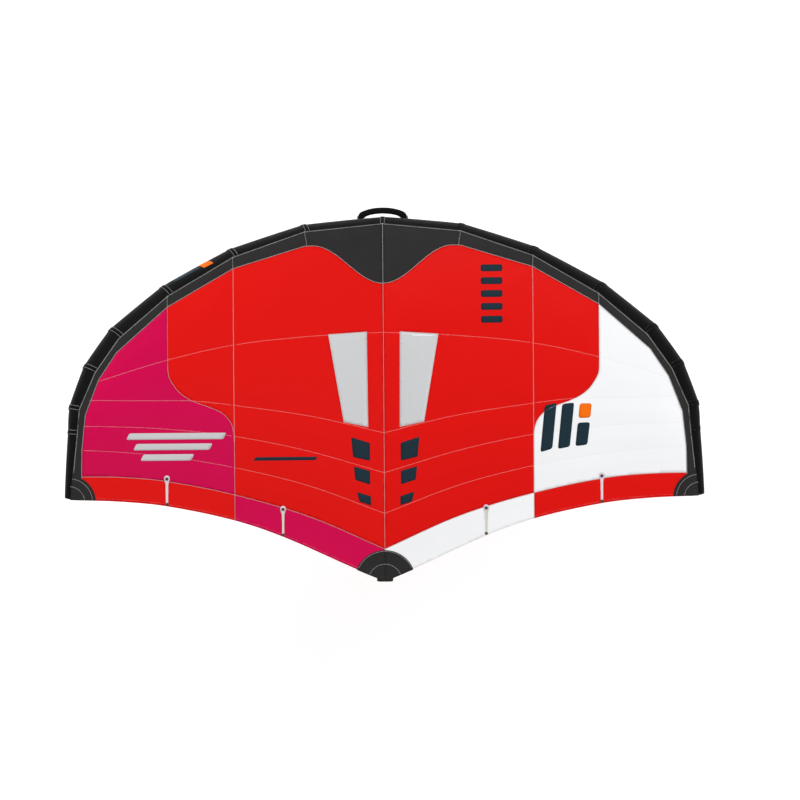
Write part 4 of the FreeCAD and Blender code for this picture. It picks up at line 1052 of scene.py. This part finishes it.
def pocket_mesh(span, start, side):
    """A tape with a raised back over its rod: round at its head, flared a little at its foot."""
    rows = []
    end = curve(EDGE, span) - 1.5
    steps = 44
    for n in range(steps + 1):
        y = start + (end - start) * n / steps
        half, hump = pocket_shape(start, end, y)
        back = min(5.2, half * 0.8)
        row = []
        for out, lift in ((half, 0.1), (half * 0.97, 0.8), (back, 1 + hump * 0.1),
                          (back * 0.92, 1 + hump * 0.8), (back * 0.55, 1 + hump)):
            row.append((out, lift))
        row = [(-out, lift) for out, lift in row] + [(0, 1.1 + hump)] + row[::-1]
        points = []
        for out, lift in row:
            points.append(at(side * (span + out), y, canopy_height(span + out, y) + 1 + CANOPY_WALL + lift))
        rows.append(points[::-1] if side > 0 else points)
    return rows


for side_name, side in SIDES.items():
    for place, (span, start) in BATTENS.items():
        strip = tube_grid(f"batten_pocket_{side_name}_{place}_skin", pocket_mesh(span, start, side),
                          FINISH["pocket_cloth"], closed=False)
        thicken(strip, 0.6 * MM, 1)
        nodes = ("batten_pockets",) if (side_name, place) == ("left", "inner") else ()
        cloth_piece(strip, nodes)
        for key, y in (("fore", start + 16), ("aft", curve(EDGE, span) - 9)):
            rows = []
            for radius, lift in ((6.8, 2.6), (6.8, 6.6), (6.0, 7.4), (3.0, 7.6), (2.4, 6.6), (0.2, 6.5)):
                row = []
                for n in range(24):
                    angle = 2 * math.pi * n / 24
                    x = span + radius * math.cos(angle)
                    back = y + radius * math.sin(angle)
                    row.append(at(side * x, back, canopy_height(span, y) + CANOPY_WALL + lift))
                rows.append(row)
            button = tube_grid(f"batten_button_{side_name}_{place}_{key}", rows, DARK_PLASTIC)
            plain_piece(button)

# ---------------------------------------------------------------------------------------------
# Stitching
# ---------------------------------------------------------------------------------------------


class Stitching:
    """Many short threads gathered in one mesh."""

    def __init__(self):
        self.verts = []
        self.faces = []

    def one(self, middle, along, up, length, wide, high):
        across = along.cross(up).normalized()
        first = len(self.verts)
        ends = (along * length / 2, across * wide / 2, up * high)
        for sign, k in ((1, 0), (-1, 0), (1, 1), (-1, 1), (1, 2), (-0.4, 2)):
            self.verts.append(at(*(middle + ends[k] * sign)))
        for a, b in ((0, 2), (2, 1), (1, 3), (3, 0)):
            self.faces += [(first + a, first + b, first + 4), (first + b, first + a, first + 5)]

    def run(self, points, ups, pitch, length, wide, high, zigzag=0.0):
        """Stitches at a pitch along 3D points; zigzag leans every other one to a side."""
        travelled = 0.0
        due = pitch / 2
        sign = 1
        for k in range(len(points) - 1):
            a, b = points[k], points[k + 1]
            span = (b - a).length
            if span < 1e-6:
                continue
            along = (b - a) / span
            while due <= travelled + span:
                f = (due - travelled) / span
                up = ups[k].lerp(ups[k + 1], f).normalized()
                lean = (along + along.cross(up) * zigzag * sign).normalized()
                self.one(a.lerp(b, f), lean, up, length, wide, high)
                sign = -sign
                due += pitch
            travelled += span

    def piece(self, name, material, slot):
        return plain_piece(mesh_object(name, self.verts, self.faces, material, False))


def on_canopy(line, side, lift, offset=0.0):
    """A plan line on the canopy's top, moved sideways by an offset, and the way up along it."""
    points = []
    ups = []
    for k, p in enumerate(line):
        before, after = line[max(k - 1, 0)], line[min(k + 1, len(line) - 1)]
        run = after - before
        if run.length > 1e-6 and offset:
            p = p + Vector((-run.y, run.x)).normalized() * offset
        x, y = p
        z = cloth_height(x, y)
        slope_x = cloth_height(x + 2, y) - z
        slope_y = cloth_height(x, y + 2) - z
        points.append(Vector((side * x, y, z + CANOPY_WALL + lift)))
        ups.append(Vector((-side * slope_x / 2, -slope_y / 2, 1)).normalized())
    return points, ups


sail_thread = Stitching()
dark_thread = Stitching()
for side in SIDES.values():
    for key, line in SEAMS.items():
        if side < 0 and key in ("centre", "centre_dark"):
            continue
        if key == "front":
            points, ups = on_canopy(line, side, 0.1, 4)
            dark_thread.run(points, ups, 4.6, 5, 2.2, 0.8, 0.8)
        elif key in ("nose", "shoulder", "outer_shoulder"):
            points, ups = on_canopy(line, side, 0.1)
            dark_thread.run(points, ups, 6, 6, 1.8, 0.7, 0.8)
        elif key in ("rear", "centre_dark"):
            points, ups = on_canopy(line, side, 0.7, -2 if key == "rear" else 0)
            dark_thread.run(points, ups, 4.6, 5.5, 2.1, 0.8, 0.8)
        elif key in ("band", "colour", "main", "centre"):
            points, ups = on_canopy(line, side, 0.9)
            sail_thread.run(points, ups, 5, 6.5, 1.6, 0.6, 0.8)
        else:
            points, ups = on_canopy(line, side, 0.1)
            sail_thread.run(points, ups, 6.5, 6, 1.5, 0.6, 0.8)
    points, ups = on_canopy(arc(*TIP_PATCH_CENTRE, 66, 182, 268, 6), side, 1.6)
    dark_thread.run(points, ups, 6, 4.5, 2.2, 0.7)
    points, ups = on_canopy(arc(*TIP_PATCH_CENTRE, 100, 184, 262, 6), side, 1.6)
    dark_thread.run(points, ups, 6, 4.5, 2.2, 0.7)
    for radius in (73, 129):
        rim = [p for p in arc(0, EDGE[0][1], radius, 270, 358, 6) if p.y < curve(EDGE, p.x) - 3]
        points, ups = on_canopy(rim, side, 1.6)
        dark_thread.run(points, ups, 6, 4.5, 2.2, 0.7)
    points, ups = on_canopy(EDGE_INNER + EDGE_OUTER[1:], side, 0.1, -9)
    sail_thread.run(points, ups, 7, 4, 0.8, 0.3)
sail_thread.piece("sail_stitching", PALE_THREAD, "white_cloth")
dark_thread.piece("reinforcement_stitching", GREY_THREAD, "dark_cloth")

tube_thread = Stitching()
for side in SIDES.values():
    for k in range(1 if side < 0 else 0, LAST):
        middle, up, across, along = section_frame(k, side)
        for offset in (-TAPE_HALF + 2.5, TAPE_HALF - 2.5):
            points = []
            ups = []
            for n in range(AROUND + 1):
                angle = 2 * math.pi * n / AROUND
                out = up * math.cos(angle) + across * math.sin(angle)
                points.append(middle + out * (RADII[k] + 1.25) + along * offset)
                ups.append(out)
            tube_thread.run(points, ups, 5.2, 4.4, 1.8, 0.6)
tube_thread.piece("tube_stitching", GREY_THREAD, "tape_cloth")

# ---------------------------------------------------------------------------------------------
# Grips, nose handle, zip and the CAD's own hardware
# ---------------------------------------------------------------------------------------------


GRIP_HALF = 0.071
GRIP_RADIUS = 0.0142
GRIP_GROOVES = 17


def grip(node, joint, body):
    """A foam grip with moulded grooves and soft shoulders, round the handle's rod."""
    low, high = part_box(node)
    centre = (low + high) / 2
    aft = Vector(JOINTS[joint]["axis"]).normalized()
    aft = aft if aft.y > 0 else -aft
    side = Vector((1, 0, 0))
    up = side.cross(aft)
    half = GRIP_HALF
    rows = []
    steps = 120
    for n in range(steps + 1):
        f = n / steps
        along = -half + 2 * half * f
        shoulder = min(min(f, 1 - f) * 16, 1)
        radius = GRIP_RADIUS * (0.72 + 0.28 * math.sqrt(max(1 - (1 - shoulder) ** 2, 0)))
        if 0.09 < f < 0.91:
            radius -= 0.0009 * max(0, math.cos(2 * math.pi * (f - 0.09) * GRIP_GROOVES)) ** 3
        radius += 0.0005 * math.sin(math.pi * f)
        row = []
        for m in range(48):
            angle = 2 * math.pi * m / 48
            flat = 1 - 0.04 * math.cos(2 * angle)
            row.append(centre + aft * along + (side * math.cos(angle) + up * math.sin(angle)) * radius * flat)
        rows.append(row)
    rows.insert(0, [centre - aft * half + (p - centre + aft * half) * 0.72 for p in rows[0]])
    rows.append([centre + aft * half + (p - centre - aft * half) * 0.72 for p in rows[-1]])
    made = tube_grid(f"{node}_foam", rows, FINISH["grip_foam"])
    padded_piece(made, node, body)
    return made


grip("front_handle_grip", "front_handle_swing", "front_handle")
grip("rear_handle_grip", "rear_handle_swing", "rear_handle")

NOSE_HANDLE = (6, -30)
NOSE_HALF = 96
NOSE_REACH = 33


def nose_handle():
    """A padded sleeve on the webbing arch: flat where it is sewn at its ends, full in its middle."""
    rows = []
    steps = 72
    for n in range(-2, steps + 3):
        f = min(max(n / steps, 0), 1)
        angle = math.pi * f
        straight = (0 - n) * 3 if n < 0 else (n - steps) * 3 if n > steps else 0
        x = NOSE_HALF * math.cos(angle)
        y = NOSE_HANDLE[0] - NOSE_REACH * math.sin(angle) + straight
        tangent = Vector((-NOSE_HALF * math.sin(angle), -NOSE_REACH * math.cos(angle), 0))
        out = Vector((-tangent.y, tangent.x, 0)).normalized()
        out = Vector((-out.x, -out.y, 0)) if out.dot(Vector((x, -NOSE_REACH, 0))) < 0 else out
        near_foot = min(f, 1 - f)
        full = min(1, max(0, near_foot * 9 - 0.6))
        half_wide = 12.3 + 1.2 * full + 2.0 * math.exp(-(((near_foot - 0.12) / 0.07) ** 2))
        half_deep = 7.2 + 0.8 * full
        row = []
        for m in range(32):
            turn = 2 * math.pi * m / 32
            c, s = math.cos(turn), math.sin(turn)
            c = math.copysign(abs(c) ** 0.8, c)
            s = math.copysign(abs(s) ** 0.8, s)
            point = Vector((x, y, NOSE_HANDLE[1])) + out * half_wide * c + Vector((0, 0, 1)) * half_deep * s
            row.append(at(*point))
        rows.append(row)
    for end, row in ((0, rows[0]), (-1, rows[-1])):
        middle = sum(row, Vector()) / len(row)
        small = [middle + (p - middle) * 0.5 for p in row]
        if end == 0:
            rows.insert(0, small)
        else:
            rows.append(small)
    made = tube_grid("le_handle_padding", rows, FINISH["webbing"])
    padded_piece(made, "le_handle", "le_handle")
    return made


nose_handle()

ZIP_STAND = 1.9


def zip_teeth():
    """Two rows of moulded teeth that mesh along the middle of the zip's tape."""
    verts, faces = [], []
    pitch = 2.4
    zip_low, zip_high = (from_nose(corner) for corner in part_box("strut_zip"))
    count = int((zip_high.y - zip_low.y - 6) / pitch)
    for n in range(count):
        y = zip_low.y + 3 + n * pitch
        z = strut_axis(y) - strut_radius(y) - ZIP_STAND
        shift = 0.55 if n % 2 else -0.55
        first = len(verts)
        for dx, dy, dz in ((-1.7, -0.8, 0.4), (1.7, -0.8, 0.4), (1.7, 0.8, 0.4), (-1.7, 0.8, 0.4),
                           (-1.3, -0.6, -0.9), (1.3, -0.6, -0.9), (1.3, 0.6, -0.9), (-1.3, 0.6, -0.9)):
            verts.append(at(shift + dx, y + dy, z + dz))
        for face in ((0, 1, 2, 3), (4, 7, 6, 5), (0, 4, 5, 1), (1, 5, 6, 2), (2, 6, 7, 3), (3, 7, 4, 0)):
            faces.append([first + corner for corner in face])
    return plain_piece(mesh_object("zip_teeth", verts, faces, FINISH["cap_plastic"], False))


zip_teeth()


def cap_ribs(node, body, radius, count):
    """Upright grip ribs round a valve cap, left out beside its hinge."""
    box_low, box_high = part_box(node)
    centre = Vector(((box_low.x + box_high.x) / 2, box_low.y + radius, 0))
    low, high = box_low.z + 0.0012, box_low.z + 0.0078
    verts, faces = [], []
    for n in range(count):
        angle = 2 * math.pi * n / count
        out = Vector((math.sin(angle), -math.cos(angle), 0))
        if out.y > 0.75:
            continue
        across = Vector((-out.y, out.x, 0)) * 0.0006
        first = len(verts)
        for reach, wide in ((-0.0004, 1.5), (0.0006, 0.6)):
            for sign, z in ((-1, low), (1, low), (1, high), (-1, high)):
                verts.append(centre + out * (radius + reach) + across * sign * wide + Vector((0, 0, z)))
        for face in ((4, 5, 6, 7), (0, 4, 7, 3), (1, 2, 6, 5), (0, 1, 5, 4), (3, 7, 6, 2), (0, 3, 2, 1)):
            faces.append([first + corner for corner in face])
    made = mesh_object(f"{node}_ribs", verts, faces, FINISH["cap_plastic"], False)
    return plain_piece(made, body)


cap_ribs("valve_cap", "valve_cap", 0.0196, 36)
cap_ribs("dump_valve_cap", "dump_cap", 0.0146, 28)

SPRING_WIRE = 0.4
SPRING_PITCH = 1.55


def valve_coil():
    """The valve's wire spring, wound to fill the CAD spring's box and shown in place of that node."""
    low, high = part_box("valve_spring")
    centre = (low + high) / 2
    wire = SPRING_WIRE * MM
    radius = (high.x - low.x) / 2 - wire
    length = high.z - low.z - 2 * wire
    turns = length / (SPRING_PITCH * MM)
    steps = round(turns * 24)
    rows = []
    for n in range(steps + 1):
        turn = 2 * math.pi * turns * n / steps
        out = Vector((math.cos(turn), math.sin(turn), 0))
        middle = Vector((centre.x, centre.y, low.z + wire + length * n / steps)) + out * radius
        thick = wire if 0 < n < steps else wire * 0.05
        angles = [2 * math.pi * k / 10 for k in range(10)]
        rows.append([middle + (out * math.cos(a) + Vector((0, 0, math.sin(a)))) * thick for a in angles])
    coil = plain_piece(tube_grid("valve_spring_coil", rows, FINISH["spring_steel"]))
    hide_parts("valve_spring")
    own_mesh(coil)


valve_coil()

# the finish of each CAD node that stays in view
NODE_SLOTS = {
    "le_bladder": "bladder_film", "strut_bladder": "bladder_film", "battens": "batten_rod",
    "front_handle": "handle_core", "rear_handle": "handle_core", "front_handle_anchors": "webbing",
    "rear_handle_anchors": "webbing", "le_handle_anchors": "webbing", "inflation_valve_body": "valve_plastic",
    "valve_cap": "cap_plastic", "valve_stem": "stem_plastic", "dump_valve_body": "valve_plastic",
    "dump_valve_cap": "cap_plastic", "bridge_hose": "hose_rubber",
    "hose_nipples": "valve_plastic", "hose_clip": "clip_plastic", "hose_clip_lever": "stem_plastic",
    "strut_zip": "zip_tape", "zip_slider": "slider_metal", "webbing_loops": "webbing",
    "leash_ring": "ring_steel",
}
for node, slot in NODE_SLOTS.items():
    NODES[node].data.materials.clear()
    NODES[node].data.materials.append(FINISH[slot])

# ---------------------------------------------------------------------------------------------
# Floor, light and camera
# ---------------------------------------------------------------------------------------------

FLOOR_DROP = 1.1
FLOOR_HALF = 400
FLOOR_GLOW = 0.37
SKY_GLOW = 0.56
floor_z = CAD_BOX[0].z - FLOOR_DROP
floor_finish = Finish("studio_floor", (0.93, 0.93, 0.93), 0.9)
floor_finish.tint(floor_finish.noise(3.0), (0.96, 0.96, 0.96), 0, 0.5)
floor_finish.shader.inputs["Emission Color"].default_value = (1, 1, 1, 1)
floor_finish.shader.inputs["Emission Strength"].default_value = FLOOR_GLOW
corners = [(x * FLOOR_HALF, y * FLOOR_HALF, floor_z) for x, y in ((-1, -1), (1, -1), (1, 1), (-1, 1))]
floor = mesh_object("studio_floor", corners, [(0, 1, 2, 3)], floor_finish.material, False)

world = bpy.data.worlds.new("studio")
world.use_nodes = True
world.node_tree.nodes["Background"].inputs["Color"].default_value = (1, 1, 1, 1)
world.node_tree.nodes["Background"].inputs["Strength"].default_value = SKY_GLOW
bpy.context.scene.world = world


def area_light(name, place, target, width, power):
    light = bpy.data.lights.new(name, "AREA")
    light.shape = "SQUARE"
    light.size = width
    light.energy = power
    obj = bpy.data.objects.new(name, light)
    bpy.context.scene.collection.objects.link(obj)
    obj.location = place
    obj.rotation_euler = (Vector(target) - Vector(place)).to_track_quat("-Z", "Y").to_euler()


area_light("key", (2.5, -4.5, 6.0), (0, 0, 0), 3.0, 330)
area_light("fill", (-4.0, 3.0, 5.0), (0, 0, 0), 4.0, 140)

bpy.context.scene.view_settings.view_transform = "Standard"
bpy.context.scene.view_settings.look = "None"

VIEW_WIDTH = 3.5
VIEW_CENTRE = (-0.0706, 0.2708)
VIEW_HEIGHT = 60
VIEW_ROLL = 0.43
SENSOR = 36
lens = bpy.data.cameras.new("camera")
lens.sensor_width = SENSOR
lens.lens = SENSOR * VIEW_HEIGHT / VIEW_WIDTH
lens.clip_start = 1
lens.clip_end = 400
camera = bpy.data.objects.new("camera", lens)
bpy.context.scene.collection.objects.link(camera)
camera.location = (*VIEW_CENTRE, VIEW_HEIGHT)
camera.rotation_euler = (0, 0, math.pi - math.radians(VIEW_ROLL))
bpy.context.scene.camera = camera
